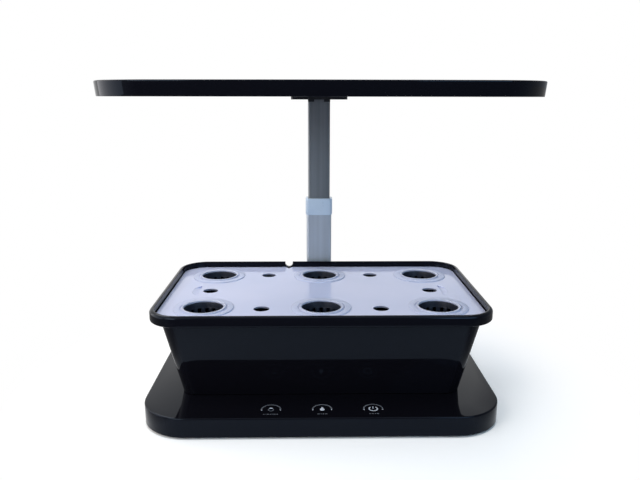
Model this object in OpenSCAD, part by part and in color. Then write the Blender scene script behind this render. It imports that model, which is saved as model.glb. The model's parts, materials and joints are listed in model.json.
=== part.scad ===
// Countertop hydroponic garden: a flat base with touch controls, a two-stage mast that carries a
// grow lamp, and a water tank whose deck holds six grow baskets.
// Millimetres. Z is up and the front faces -Y. The origin is on the tabletop under the base's centre.

/* [Base] */
// Width of the base
base_w = 315; // [300:1:380]
// Depth of the base
base_d = 234; // [226:1:280]
// Height of the base cover, without the feet
base_h = 17.4; // [16:0.2:26]
// Radius of the base's corners, seen from above
base_corner_r = 42; // [25:1:55]
// Thickness of the cover's side wall
base_wall = 2.2; // [1.6:0.1:3]
// Thickness of the cover's top
base_top_t = 2.4; // [1.8:0.1:3]
// Thickness of the bottom plate
plate_t = 2.2; // [2:0.1:3]
// Distance of the cover's screws from its edges
base_screw_inset = 26; // [20:1:34]
// How far the feet stand out below the base
foot_h = 1.8; // [0.8:0.1:4]
// Diameter of a foot
foot_d = 16; // [10:1:22]
// Depth of the pocket that a foot is glued into
foot_pocket = 0.8; // [0.4:0.1:1.2]
// Distance of the feet's centres from the base's edges
foot_inset = 44; // [42:1:54]

/* [Touch controls] */
// Spacing of the three touch fields
touch_pitch = 44; // [36:1:60]
// Distance of the touch fields from the base's front edge
touch_inset = 16; // [15:0.5:24]
// Height of the contact ring between the circuit board and the cover
touch_ring_h = 3; // [2:0.1:4]
// Diameter of a contact ring
touch_ring_d = 12; // [8:0.5:16]
// Depth of the control board, front to back
board_d = 22; // [20:1:26]
// Length of the control board past the outer touch fields
board_margin = 22; // [18:1:30]
// Thickness of every circuit board
board_t = 1.6; // [1:0.1:2]

/* [Sockets in the rear wall] */
// Distance of the power socket from the middle of the base
power_socket_x = 92; // [60:1:100]
// Distance of the pump socket from the middle of the base, on the other side
pump_socket_x = 58; // [50:1:100]
// Outer diameter of a socket's nose
socket_nose_d = 8; // [7.5:0.1:9]
// Bore that the plug goes into
socket_bore_d = 6; // [5:0.1:6.5]
// Depth of that bore
socket_bore_depth = 9.5; // [8:0.5:11]
// Diameter of the contact pin in the bore
socket_pin_d = 2; // [1.3:0.1:2.5]
// Diameter of the flange behind the wall
socket_flange_d = 10.6; // [10:0.1:11.5]
// Length of the socket's body behind the flange
socket_body_l = 10; // [9:0.5:14]
// How far the contact pin stands out behind the body, for its wire
contact_tail = 3; // [2:0.5:5]

/* [Mast] */
// Width of the lower tube
mast_w = 27.6; // [25:0.2:32]
// Depth of the lower tube, front to back
mast_d = 16; // [15:0.2:18]
// Corner radius of the lower tube
mast_r = 3; // [2.2:0.1:4]
// Wall of the lower tube
mast_wall = 1.5; // [1.2:0.1:2]
// Length of the lower tube
mast_len = 163.8; // [150:1:190]
// Distance of the mast from the base's rear edge
mast_back = 8; // [6.5:0.5:12]
// Gap all round between the lower tube and the upper tube
mast_gap = 0.4; // [0.3:0.05:0.6]
// Wall of the upper tube
inner_wall = 1.2; // [1:0.1:1.6]
// Length of the upper tube
inner_len = 176; // [170:1:190]
// Length of the upper tube that shows between the collar and the lamp bracket
mast_shown = 107; // [100:1:115]
// Height of the collar on the lower tube
collar_h = 18.5; // [14:0.5:24]
// Wall of the collar
collar_wall = 0.8; // [0.8:0.1:2]
// Thickness of the collar's lip over the tube's end
collar_lip = 1; // [0.8:0.1:2]
// Length of the glide below the upper tube
glide_h = 12; // [8:0.5:16]
// Gap all round between the glide and the lower tube
glide_gap = 0.15; // [0.1:0.01:0.25]
// Width of the cable duct through the glide
duct_w = 10; // [6:0.5:14]
// Depth of the cable duct through the glide
duct_d = 4; // [3:0.5:6]
// Diameter of the cross pins that hold the tube ends
pin_d = 3; // [2.5:0.1:3.5]

/* [Mast foot] */
// Width of the mast foot's flange
mast_foot_w = 66; // [62:1:76]
// Depth of the mast foot's flange
mast_foot_d = 40; // [36:1:50]
// Thickness of the mast foot's flange
mast_foot_t = 2.8; // [2.4:0.1:3.4]
// Wall of the mast foot around the tube
mast_foot_wall = 2.6; // [2:0.1:3]

/* [Lamp] */
// Width of the lamp
lamp_w = 394; // [388:1:440]
// Depth of the lamp
lamp_d = 206; // [196:1:212]
// Height of the lamp
lamp_h = 13.2; // [13:0.1:20]
// Radius of the lamp's corners, seen from above
lamp_corner_r = 60; // [40:1:70]
// Radius of the lamp's bowed front edge
lamp_bow_r = 1500; // [1200:10:4000]
// Wall of the lamp housing
lamp_wall = 2; // [1.5:0.1:3]
// Thickness of the lamp's tray
tray_t = 2; // [1.6:0.1:2.4]
// Distance from the mast to the lamp's rear edge
lamp_back = 5; // [5:0.5:10]
// Distance from the light window to the lamp's ends
window_side = 28; // [26:1:34]
// Distance from the lamp's front edge to the light window
window_front = 22; // [21:1:26]
// Distance from the light window to the lamp's rear edge
window_back = 52; // [51:1:58]
// Corner radius of the light window
window_r = 30; // [10:1:40]
// How far the diffuser lies on the tray around the window
diffuser_lap = 5; // [3:0.5:6]
// Thickness of the diffuser
diffuser_t = 1.6; // [1.2:0.1:2]
// Distance of the tray's screws from the lamp's front edge
tray_screw_front = 13; // [12:0.5:13]
// Columns of light diodes
led_columns = 12; // [8:2:12]
// Rows of light diodes
led_rows = 4; // [2:2:4]
// Distance of the outer light diodes from the window's edge
led_edge = 24; // [20:0.5:32]
// Size of a light diode
led_size = 5; // [3:0.5:6]
// Height of a light diode
led_h = 1; // [0.6:0.1:1.2]
// Gap between the housing's top and the diode board
led_board_drop = 3.4; // [3:0.1:3.6]

/* [Lamp bracket] */
// Width of the bracket's plate under the lamp
bracket_w = 59.5; // [56:0.5:70]
// Depth of the bracket's plate
bracket_d = 32; // [30:0.5:34]
// Thickness of the bracket's plate
bracket_t = 3; // [2.6:0.1:4]
// Wall of the bracket's sleeve around the upper tube
sleeve_wall = 2; // [1.6:0.1:2.4]
// How far the upper tube goes into the bracket
sleeve_depth = 9.5; // [9:0.1:10]
// Width of each tab that holds the upper tube below the plate
tab_w = 6.6; // [5:0.1:7]
// Height of the tabs
tab_h = 2.4; // [1.6:0.1:3]

/* [Tank] */
// Width of the tank's rim
rim_w = 301; // [290:1:310]
// Depth of the tank's rim
rim_d = 188; // [184:1:194]
// Radius of the rim's corners, seen from above
rim_corner_r = 28; // [24:1:34]
// Thickness of the rim's wall
rim_t = 4; // [3:0.2:4.4]
// Height of the rim's outer band
rim_h = 9.8; // [9:0.2:12]
// Height of the tank with its rim
tank_h = 82.5; // [80:0.5:100]
// How far the rim stands out past the tank's wall
rim_overhang = 10; // [8:0.5:14]
// How far the tank's bottom is set back from the rim
bottom_setback = 24.5; // [22:0.5:27]
// Corner radius of the tank's body
tank_corner_r = 14; // [12:1:20]
// Thickness of the tank's wall
tank_wall = 2.5; // [2:0.1:3]
// Thickness of the tank's floor
tank_floor_t = 2.5; // [2:0.1:4]
// Gap between the tank's rim and the mast
tank_mast_gap = 3; // [2:0.5:4]
// Width of the cable notch in the rear rim
notch_w = 8.2; // [6:0.2:10]
// Distance of the cable notch from the middle
notch_x = 33.4; // [26:0.2:40]

/* [Deck] */
// How far the deck's top lies below the rim's top
deck_drop = 5.8; // [5.4:0.1:6.4]
// Thickness of the deck
deck_t = 2.2; // [2:0.1:2.8]
// Depth of the rib under the deck's edge
deck_rib_h = 5; // [3:0.5:7]
// Thickness of that rib
deck_rib_t = 1.6; // [1.2:0.1:2]
// Gap between the deck and the rim
deck_gap = 0.4; // [0.3:0.1:0.6]
// Distance of the outer baskets from the rim's ends
pod_end = 44.6; // [43:0.2:48]
// Distance of the baskets from the rim's front and rear edges
pod_side = 41.3; // [41:0.1:44]
// Diameter of the six small holes
vent_d = 14.3; // [10:0.1:16]
// How far the small holes lie outside the rows of baskets
vent_offset = 2.6; // [0:0.1:5]
// How far the small holes at the deck's ends lie outside the outer baskets' centres
vent_end = 1.6; // [0:0.1:3]
// Length of a finger recess
grip_l = 33; // [28:1:40]
// Greatest width of a finger recess
grip_w = 7; // [6:0.5:12]
// Distance of the finger recesses from the rim's ends
grip_end = 29; // [25:0.5:30]
// Depth of a finger recess
grip_depth = 1.2; // [0.6:0.1:1.4]

/* [Grow baskets] */
// Diameter of the collar's flange
flange_d = 54; // [50:0.1:58]
// Thickness of the flange
flange_t = 1.1; // [0.8:0.1:2]
// Outer diameter of the collar's neck
neck_d = 40.4; // [40:0.1:42]
// Diameter of the collar's mouth
mouth_d = 35.6; // [34:0.1:36.4]
// Height of the collar's inner lip
lip_h = 2.4; // [2:0.1:4]
// How far the bead round the mouth stands above the flange
bead_h = 0.6; // [0.4:0.1:1.2]
// How far the neck reaches below the deck's top
neck_depth = 5.4; // [5:0.1:7]
// Outer diameter of the basket's top
basket_d = 38; // [37:0.1:38.2]
// Outer diameter of the basket's bottom
basket_bottom_d = 29; // [26:0.5:30]
// Height of the basket
basket_h = 40; // [38:0.5:44]
// Thickness of the basket's wall
basket_wall = 1.3; // [1:0.1:1.5]
// Height of the closed band at the basket's top
basket_band_h = 4.5; // [4:0.5:9]
// Pairs of slots in the basket's wall
slot_pairs = 8; // [5:1:10]
// Width of a slot
slot_w = 3.2; // [2:0.1:3.6]
// Diameter of the drain holes
drain_d = 5; // [3:0.2:6]

/* [Pump] */
// How far the pump and the float stand behind the tank's middle
pump_back = 22; // [18:1:26]
// Width of the pump
pump_w = 34; // [30:1:38]
// Height of the pump's body
pump_h = 22; // [21:0.5:23]
// Length of the motor part
motor_l = 28; // [26:0.5:32]
// Length of the cover with the pump chamber
volute_l = 10; // [9:0.5:12]
// Height of the suction cups
cup_h = 3; // [2:0.1:4]
// Diameter of the suction cups
cup_d = 9; // [7:0.5:9]
// Diameter of the rotor
rotor_d = 11.8; // [10:0.1:12.5]
// Length of the rotor
rotor_l = 18; // [16:0.5:20]
// Diameter of the impeller
impeller_d = 16; // [15:0.1:17]
// Height of the impeller's blades
blade_h = 3.6; // [3:0.1:4]
// Diameter of the pump's shaft
shaft_d = 2; // [1.5:0.1:2.5]
// Gap between the shaft and the rotor
shaft_gap = 0.05; // [0.03:0.01:0.08]
// Outer diameter of the outlet nozzle
nozzle_d = 8; // [7:0.1:8.5]
// Bore of the outlet nozzle
nozzle_bore_d = 5; // [4:0.1:5.5]
// Length of the outlet nozzle
nozzle_l = 12; // [8:0.5:16]

/* [Water level float] */
// Outer diameter of the float
float_d = 24; // [22:0.5:28]
// Height of the float
float_h = 16; // [12:0.5:17]
// Diameter of the stem
stem_d = 7.8; // [6:0.1:8]
// Height of the stem with its foot and cap
stem_h = 50; // [48:0.5:54]
// Diameter of the stem's foot
stem_foot_d = 16; // [12:0.5:20]
// Thickness of the stem's foot and cap
stem_foot_t = 1.5; // [1.2:0.1:2]
// Gap all round between the stem and the float
float_gap = 0.3; // [0.25:0.05:0.5]
// Outer diameter of the ring magnet
magnet_d = 20; // [18.5:0.1:21]
// Hole of the ring magnet
magnet_hole_d = 12; // [11.5:0.1:13]
// Thickness of the ring magnet
magnet_t = 3; // [2:0.1:4]

/* [Fasteners and fits] */
// Diameter of every screw
screw_d = 2.9; // [2.5:0.1:3]
// Diameter of a screw's head
screw_head_d = 5.4; // [4.8:0.1:5.6]
// Height of a screw's head
screw_head_h = 1.5; // [1.2:0.1:1.7]
// Diameter of the boss around a screw
boss_d = 7; // [6:0.1:8]
// Gap all round between pieces that drop into each other
fit_gap = 0.3; // [0.2:0.05:0.4]
// Gap all round between pieces that are pressed or screwed together
press_gap = 0.05; // [0.03:0.01:0.08]

/* [Hidden] */
$fn = 64;
HULL_FN = 32;    // Segments of the rounded corners inside a hull
ARC_STEPS = 14;  // Segments of an arc in the lamp's outline
CUT = 1;         // How far a cut runs past the face that it opens
SINK = 0.5;      // How far a boss or rib runs into the wall that carries it

// Heights
plate_top = foot_h + plate_t;
base_top = foot_h + base_h;
cover_under = base_top - base_top_t;
foot_t = foot_h + foot_pocket;
mast_bottom = plate_top + mast_foot_t;
collar_top = mast_bottom + mast_len + collar_lip;
bracket_z = collar_top + mast_shown;
lamp_z = bracket_z + bracket_t;
lamp_top = lamp_z + lamp_h;
tray_top = lamp_z + tray_t;
rim_top = base_top + tank_h;
rim_bottom = rim_top - rim_h;
deck_top = rim_top - deck_drop;
deck_under = deck_top - deck_t;
tank_floor = base_top + tank_floor_t;

// Places from front to back
mast_y = base_d / 2 - mast_back - mast_d / 2;
tank_y = mast_y - mast_d / 2 - tank_mast_gap - rim_d / 2;
lamp_rear = mast_y + mast_d / 2 + lamp_back;
lamp_front = lamp_rear - lamp_d;
touch_y = -base_d / 2 + touch_inset;
pump_y = tank_y + pump_back;

// Screw places
cover_screws_at = [for (x = [-1, 1], y = [-1, 0, 1])
    [x * (base_w / 2 - base_screw_inset), y * (base_d / 2 - base_screw_inset)]];
feet_at = [for (x = [-1, 1], y = [-1, 1])
    [x * (base_w / 2 - foot_inset), y * (base_d / 2 - foot_inset)]];

// Control board
touch_at = [for (i = [-1, 0, 1]) [i * touch_pitch, touch_y]];
board_w = 2 * (touch_pitch + board_margin);
board_top = cover_under - touch_ring_h;
board_under = board_top - board_t;
board_screws_at = [for (x = [-1, 1], y = [-1, 1])
    [x * (board_w - boss_d) / 2, touch_y + y * (board_d - boss_d) / 2]];
touch_lamp = [2, 1.6, 0.8];
chip_size = [9, 9, 1.2];
plug_size = [14, 6, 5];

// Level sensor under the cover
sensor_board = [18, 12];
sensor_chip = [4, 3, 0.8];

// Sockets
rear_face = base_d / 2;
socket_z = (plate_top + cover_under) / 2;
socket_flange_t = 2;
socket_inner_face = rear_face - base_wall;
socket_body_front = socket_inner_face - socket_flange_t - socket_body_l;
socket_body_d = socket_flange_d - 1;
cradle_w = socket_body_d - 1;
sockets_at = [power_socket_x, -pump_socket_x];

// Mast
inner_w = mast_w - 2 * (mast_wall + mast_gap);
inner_d = mast_d - 2 * (mast_wall + mast_gap);
inner_r = mast_r - mast_wall - mast_gap + 1;
inner_top = bracket_z + sleeve_depth;
inner_bottom = inner_top - inner_len;
collar_gap = 0.15;
mast_foot_rear = rear_face - base_wall - 2 * fit_gap;
mast_foot_y = mast_foot_rear - mast_foot_d / 2;
mast_pin_z = mast_bottom + pin_d / 2 + 1.5;
mast_pin_l = mast_w + 2 * mast_foot_wall;
foot_screws_at = [for (x = [-1, 1], y = [-1, 1])
    [x * (mast_foot_w - boss_d - 2) / 2, mast_foot_y + y * (mast_foot_d - boss_d - 2) / 2]];

// Lamp
lamp_corner_x = lamp_w / 2 - lamp_corner_r;
bow_angle = asin(lamp_corner_x / (lamp_bow_r - lamp_corner_r));
bow_y = lamp_front + lamp_bow_r;
front_corner_y = bow_y - (lamp_bow_r - lamp_corner_r) * cos(bow_angle);
rear_corner_y = lamp_rear - lamp_corner_r;
window_w = lamp_w - 2 * window_side;
window_d = lamp_d - window_front - window_back;
window_y = lamp_front + window_front + window_d / 2;
ceiling = lamp_top - lamp_wall;
led_board_top = ceiling - led_board_drop;
led_board_under = led_board_top - board_t;
led_pitch_x = (window_w - 2 * led_edge) / (led_columns - 1);
led_pitch_y = (window_d - 2 * led_edge) / (led_rows - 1);
led_margin = 11;
led_board_r = 6;
led_board_w = (led_columns - 1) * led_pitch_x + 2 * led_margin;
led_board_d = (led_rows - 1) * led_pitch_y + 2 * led_margin;
led_posts_at = [for (x = [-1, 0, 1], y = [-1, 1])
    [x * (led_columns / 2 - 1) * led_pitch_x, window_y + y * (led_rows / 2 - 1) * led_pitch_y]];
tray_screw_pitch = 80;
tray_boss_h = 5;
tray_boss_d = boss_d - 1;
tray_screw_rear_y = window_y + window_d / 2 + diffuser_lap + boss_d;
tray_screws_at = [for (i = [-1.5:1.5], y = [lamp_front + tray_screw_front, tray_screw_rear_y])
    [i * tray_screw_pitch, y]];
bracket_rear = lamp_rear - 2;
bracket_y = bracket_rear - bracket_d / 2;
bracket_pin_z = inner_top - sleeve_depth / 2 + bracket_t / 2;
sleeve_w = inner_w + 2 * sleeve_wall;
sleeve_d = inner_d + 2 * sleeve_wall;
tab_t = 2.5;
bracket_screws_at = [for (x = [-1, 1], y = [-1, 1])
    [x * (bracket_w - boss_d - 1) / 2, bracket_y + y * (bracket_d - boss_d - 1) / 2]];

// Tank and deck
pod_x = rim_w / 2 - pod_end;
pod_y = rim_d / 2 - pod_side;
pods_at = [for (y = [-1, 1], x = [-1, 0, 1]) [x * pod_x, tank_y + y * pod_y]];
vent_x = pod_x + vent_end;
vents_at = concat([for (x = [-1, 1], y = [-1, 1]) [x * vent_x / 2, tank_y + y * (pod_y + vent_offset)]],
    [for (x = [-1, 1]) [x * vent_x, tank_y]]);
grip_x = rim_w / 2 - grip_end;
deck_w = rim_w - 2 * (rim_t + deck_gap);
deck_d = rim_d - 2 * (rim_t + deck_gap);
deck_notch = 3;
grip_r = (grip_w * grip_w + grip_l * grip_l / 4) / (2 * grip_w);

// Baskets
pod_gap = 0.3;
basket_top = deck_top + flange_t + bead_h - lip_h;
basket_bottom = basket_top - basket_h;
drain_ring_r = 9;

// Pump, between the left and the middle baskets
pump_x = pod_x / 2;
cups_top = tank_floor + cup_h;
cup_neck_d = 3;
cup_neck_h = 2;
cups_at = [for (x = [-1, 1], y = [-1, 1])
    [-pump_x + x * (pump_w - cup_d) / 2, pump_y + y * (motor_l - cup_d) / 2]];
pump_axis = [-pump_x, cups_top + pump_h / 2];
motor_front = pump_y - motor_l / 2;
volute_front = motor_front - volute_l;
volute_wall = 2;
chamber_d = impeller_d + 2;
end_play = 0.5;
rotor_gap = 0.4;
disc_t = 1.5;
well_end = motor_front + rotor_l + end_play;
shaft_ends = [volute_front + volute_wall - 1.2, well_end + 2];

// Float, between the middle and the right baskets
float_at = [pod_x / 2, pump_y];
float_bottom = tank_floor + stem_foot_t + 0.5;
float_top = float_bottom + float_h;
stem_cap_d = stem_foot_d - 4;
seat_t = 1.6;

// ---- Shared shapes ----

// A rectangle with round corners, centred on the origin
module rounded_rect(w, d, r) {
    square([w - 2 * r, d], center = true);
    square([w, d - 2 * r], center = true);
    for (x = [-1, 1], y = [-1, 1])
        translate([x * (w / 2 - r), y * (d / 2 - r)])
            circle(r);
}

// A slab with round upright edges between two heights
module slab(w, d, r, z0, z1) {
    translate([0, 0, z0])
        linear_extrude(z1 - z0)
            rounded_rect(w, d, r);
}

// A cylinder between two heights at a place [x, y]
module post(at, d, z0, z1) {
    translate([at[0], at[1], z0])
        cylinder(d = d, h = z1 - z0);
}

// A cylinder that lies along Y between two places, its axis through [x, z]
module rod_y(at, d, y0, y1) {
    translate([at[0], y1, at[1]])
        rotate([90, 0, 0])
            cylinder(d = d, h = y1 - y0);
}

// A cylinder that lies along X, centred on [x, y, z]
module rod_x(at, d, l) {
    translate(at)
        rotate([0, 90, 0])
            cylinder(d = d, h = l, center = true);
}

// The tapered seat or head of a screw that is driven upwards, its wide end at the height z
module countersink(at, z, gap = 0) {
    translate([at[0], at[1], z])
        cylinder(d1 = screw_head_d + 2 * gap, d2 = screw_d + 2 * gap, h = screw_head_h);
}

// A cross recess that opens downwards at the height z
module cross_recess(at, z) {
    arm = [screw_head_d * 0.6, 0.7, 0.8];
    translate([at[0], at[1], z + arm[2] / 2])
        for (a = [0, 90])
            rotate(a)
                cube([arm[0], arm[1], arm[2] * 2], center = true);
}

// A flush screw driven upwards from the height z
module flush_screw(at, z, l) {
    difference() {
        union() {
            countersink(at, z);
            post(at, screw_d, z, z + l);
        }
        cross_recess(at, z - 0.4);
    }
}

// A raised-head screw driven upwards, its head against the height z
module pan_screw(at, z, l) {
    difference() {
        union() {
            post(at, screw_head_d, z - screw_head_h, z);
            post(at, screw_d, z - SINK, z + l);
        }
        cross_recess(at, z - screw_head_h - 0.4);
    }
}

// ---- Base ----

module base_cover() {
    color([0.02, 0.02, 0.03])
        difference() {
            union() {
                difference() {
                    slab(base_w, base_d, base_corner_r, foot_h, base_top);
                    slab(base_w - 2 * base_wall, base_d - 2 * base_wall, base_corner_r - base_wall,
                        foot_h - CUT, cover_under);
                }
                for (at = cover_screws_at)
                    post(at, boss_d, plate_top, cover_under + SINK);
                for (at = board_screws_at)
                    post(at, boss_d - 2, board_top, cover_under + SINK);
            }
            for (at = cover_screws_at)
                post(at, screw_d + 2 * press_gap, plate_top - CUT, cover_under - 1);
            for (at = board_screws_at)
                post(at, screw_d + 2 * press_gap, board_top - CUT, cover_under);
            translate([0, mast_y])
                slab(mast_w + 2 * fit_gap, mast_d + 2 * fit_gap, mast_r + fit_gap,
                    cover_under - CUT, base_top + CUT);
            for (x = sockets_at)
                rod_y([x, socket_z], socket_nose_d + 2 * press_gap,
                    rear_face - base_wall - CUT, rear_face + CUT);
        }
}

module base_plate() {
    color([0.05, 0.05, 0.06])
        difference() {
            union() {
                slab(base_w - 2 * (base_wall + fit_gap), base_d - 2 * (base_wall + fit_gap),
                    base_corner_r - base_wall - fit_gap, foot_h, plate_top);
                for (x = sockets_at)
                    socket_cradle(x);
            }
            for (at = cover_screws_at)
                plate_screw_hole(at);
            for (at = foot_screws_at)
                plate_screw_hole(at);
            for (at = feet_at)
                post(at, foot_d + 2 * press_gap, foot_h - CUT, foot_h + foot_pocket);
        }
}

module plate_screw_hole(at) {
    post(at, screw_d + 2 * press_gap, foot_h - CUT, plate_top + CUT);
    countersink(at, foot_h, press_gap);
}

module socket_cradle(x) {
    cradle_rear = rear_face - base_wall - socket_flange_t - 1;
    difference() {
        translate([x - cradle_w / 2, cradle_rear - socket_body_l / 2, plate_top - SINK])
            cube([cradle_w, socket_body_l / 2, socket_z - plate_top - 1 + SINK]);
        rod_y([x, socket_z], socket_body_d + 2 * press_gap,
            cradle_rear - socket_body_l, cradle_rear + CUT);
    }
}

module rubber_feet() {
    color([0.1, 0.1, 0.1])
        for (at = feet_at)
            post(at, foot_d, 0, foot_t);
}

module base_screws() {
    color("silver")
        for (at = cover_screws_at)
            flush_screw(at, foot_h, cover_under - foot_h - 2);
}

module control_board() {
    color("darkgreen")
        difference() {
            union() {
                translate([0, touch_y])
                    slab(board_w, board_d, 2, board_under, board_top);
                for (at = touch_at)
                    translate([at[0] - touch_lamp[0] / 2, at[1] - touch_lamp[1] / 2, board_top - SINK])
                        cube(touch_lamp + [0, 0, SINK]);
                translate([-touch_pitch / 2 - chip_size[0] / 2, touch_y - chip_size[1] / 2,
                    board_under - chip_size[2]])
                    cube(chip_size + [0, 0, SINK]);
                translate([touch_pitch / 2 - plug_size[0] / 2, touch_y + board_d / 2 - plug_size[1] - 1,
                    board_under - plug_size[2]])
                    cube(plug_size + [0, 0, SINK]);
            }
            for (at = board_screws_at)
                post(at, screw_d + 2 * press_gap, board_under - CUT, board_top + CUT);
        }
}

module touch_rings() {
    wall = 1;
    color("goldenrod")
        for (at = touch_at)
            difference() {
                post(at, touch_ring_d, board_top, cover_under);
                post(at, touch_ring_d - 2 * wall, board_top - CUT, cover_under + CUT);
            }
}

module board_screws() {
    color("silver")
        for (at = board_screws_at)
            pan_screw(at, board_under, board_t + touch_ring_h - 0.5);
}

module level_sensor() {
    chip_under = cover_under - sensor_chip[2];
    color("darkgreen")
        translate(float_at) {
            slab(sensor_board[0], sensor_board[1], 1, chip_under - board_t, chip_under);
            translate([-sensor_chip[0] / 2, -sensor_chip[1] / 2, chip_under - SINK])
                cube(sensor_chip + [0, 0, SINK]);
        }
}

// A round socket that lies along Y in the rear wall
module rear_socket(x) {
    flange_front = socket_inner_face - socket_flange_t;
    color([0.12, 0.12, 0.13])
        difference() {
            union() {
                rod_y([x, socket_z], socket_nose_d, socket_inner_face - SINK, rear_face - 0.2);
                rod_y([x, socket_z], socket_flange_d, flange_front, socket_inner_face);
                rod_y([x, socket_z], socket_body_d, socket_body_front, flange_front + SINK);
            }
            rod_y([x, socket_z], socket_bore_d, rear_face - socket_bore_depth, rear_face + CUT);
            rod_y([x, socket_z], socket_pin_d + 2 * press_gap, socket_body_front - CUT, rear_face);
        }
}

// The pin in a socket's bore, which runs through the socket's body to its wire
module socket_contact(x) {
    color("goldenrod")
        rod_y([x, socket_z], socket_pin_d, socket_body_front - contact_tail, rear_face - 1.5);
}

module power_socket() rear_socket(power_socket_x);

module power_contact() socket_contact(power_socket_x);

module pump_socket() rear_socket(-pump_socket_x);

module pump_contact() socket_contact(-pump_socket_x);

// ---- Mast ----

// A tube with a rounded rectangular section that stands at the mast's place
module mast_section(w, d, r, wall, z0, z1) {
    translate([0, mast_y])
        difference() {
            slab(w, d, r, z0, z1);
            slab(w - 2 * wall, d - 2 * wall, max(r - wall, 0.4), z0 - CUT, z1 + CUT);
        }
}

module mast_foot() {
    color([0.08, 0.08, 0.09])
        difference() {
            union() {
                translate([0, mast_foot_y])
                    slab(mast_foot_w, mast_foot_d, 4, plate_top, mast_bottom);
                translate([0, mast_y])
                    slab(mast_w + 2 * mast_foot_wall, mast_d + 2 * mast_foot_wall,
                        mast_r + mast_foot_wall, plate_top, cover_under);
            }
            translate([0, mast_y])
                slab(mast_w + 2 * press_gap, mast_d + 2 * press_gap, mast_r + press_gap,
                    mast_bottom, cover_under + CUT);
            rod_x([0, mast_y, mast_pin_z], pin_d + 2 * press_gap, mast_pin_l + 2 * CUT);
            for (at = foot_screws_at)
                post(at, screw_d + 2 * press_gap, plate_top - CUT, mast_bottom + CUT);
        }
}

module mast_foot_screws() {
    color("silver")
        for (at = foot_screws_at)
            flush_screw(at, foot_h, plate_t + mast_foot_t);
}

module mast_pin() {
    color("silver")
        rod_x([0, mast_y, mast_pin_z], pin_d, mast_pin_l);
}

module mast_tube() {
    color([0.62, 0.66, 0.7])
        difference() {
            mast_section(mast_w, mast_d, mast_r, mast_wall, mast_bottom, mast_bottom + mast_len);
            rod_x([0, mast_y, mast_pin_z], pin_d + 2 * press_gap, mast_w + 2 * CUT);
        }
}

module mast_collar() {
    color([0.8, 0.84, 0.88])
        translate([0, mast_y])
            difference() {
                slab(mast_w + 2 * (collar_wall + press_gap), mast_d + 2 * (collar_wall + press_gap),
                    mast_r + collar_wall, collar_top - collar_h, collar_top);
                slab(mast_w + 2 * press_gap, mast_d + 2 * press_gap, mast_r + press_gap,
                    collar_top - collar_h - CUT, collar_top - collar_lip);
                slab(inner_w + 2 * collar_gap, inner_d + 2 * collar_gap, inner_r + collar_gap,
                    collar_top - collar_lip - CUT, collar_top + CUT);
            }
}

module mast_inner_tube() {
    color([0.55, 0.58, 0.62])
        difference() {
            mast_section(inner_w, inner_d, inner_r, inner_wall, inner_bottom, inner_top);
            rod_x([0, mast_y, bracket_pin_z], pin_d + 2 * press_gap, inner_w + 2 * CUT);
        }
}

module mast_glide() {
    head_w = mast_w - 2 * (mast_wall + glide_gap);
    head_d = mast_d - 2 * (mast_wall + glide_gap);
    plug_w = inner_w - 2 * (inner_wall + press_gap);
    plug_d = inner_d - 2 * (inner_wall + press_gap);
    color([0.15, 0.15, 0.16])
        translate([0, mast_y])
            difference() {
                union() {
                    slab(head_w, head_d, mast_r - mast_wall, inner_bottom - glide_h, inner_bottom);
                    slab(plug_w, plug_d, max(inner_r - inner_wall, 0.4), inner_bottom - SINK,
                        inner_bottom + glide_h);
                }
                slab(duct_w, duct_d, 1, inner_bottom - glide_h - CUT, inner_bottom + glide_h + CUT);
            }
}

// ---- Lamp ----

function arc(at, r, a0, a1, steps) =
    [for (i = [0:steps]) let (a = a0 + (a1 - a0) * i / steps) at + r * [cos(a), sin(a)]];

// The lamp's outline, drawn in by a distance
module lamp_outline(inset) {
    r = lamp_corner_r - inset;
    polygon(concat(
        arc([lamp_corner_x, rear_corner_y], r, 0, 90, ARC_STEPS),
        arc([-lamp_corner_x, rear_corner_y], r, 90, 180, ARC_STEPS),
        arc([-lamp_corner_x, front_corner_y], r, 180, 270 - bow_angle, ARC_STEPS),
        arc([0, bow_y], lamp_bow_r - inset, 270 - bow_angle, 270 + bow_angle, ARC_STEPS),
        arc([lamp_corner_x, front_corner_y], r, 270 + bow_angle, 360, ARC_STEPS)));
}

module lamp_slab(inset, z0, z1) {
    translate([0, 0, z0])
        linear_extrude(z1 - z0)
            lamp_outline(inset);
}

module lamp_housing() {
    color([0.02, 0.02, 0.03])
        difference() {
            union() {
                difference() {
                    lamp_slab(0, lamp_z, lamp_top);
                    lamp_slab(lamp_wall, lamp_z - CUT, ceiling);
                }
                for (at = tray_screws_at)
                    post(at, boss_d, tray_top, ceiling + SINK);
                for (at = led_posts_at)
                    post(at, boss_d, led_board_top, ceiling + SINK);
            }
            for (at = tray_screws_at)
                post(at, screw_d + 2 * press_gap, tray_top - CUT, ceiling - 1);
            for (at = led_posts_at)
                post(at, screw_d + 2 * press_gap, led_board_top - CUT, ceiling);
        }
}

module lamp_tray() {
    color([0.03, 0.03, 0.04])
        difference() {
            union() {
                lamp_slab(lamp_wall + fit_gap, lamp_z, tray_top);
                for (at = bracket_screws_at)
                    post(at, tray_boss_d, tray_top - SINK, tray_top + tray_boss_h);
            }
            translate([0, window_y])
                slab(window_w, window_d, window_r, lamp_z - CUT, tray_top + CUT);
            translate([0, mast_y])
                slab(sleeve_w + 2 * fit_gap, sleeve_d + 2 * fit_gap, 2, lamp_z - CUT, tray_top + CUT);
            for (at = tray_screws_at) {
                post(at, screw_d + 2 * press_gap, lamp_z - CUT, tray_top + CUT);
                countersink(at, lamp_z, press_gap);
            }
            for (at = bracket_screws_at)
                post(at, screw_d + 2 * press_gap, lamp_z - CUT, tray_top + tray_boss_h + CUT);
        }
}

module lamp_screws() {
    color("silver")
        for (at = tray_screws_at)
            flush_screw(at, lamp_z, ceiling - lamp_z - 2);
}

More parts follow.
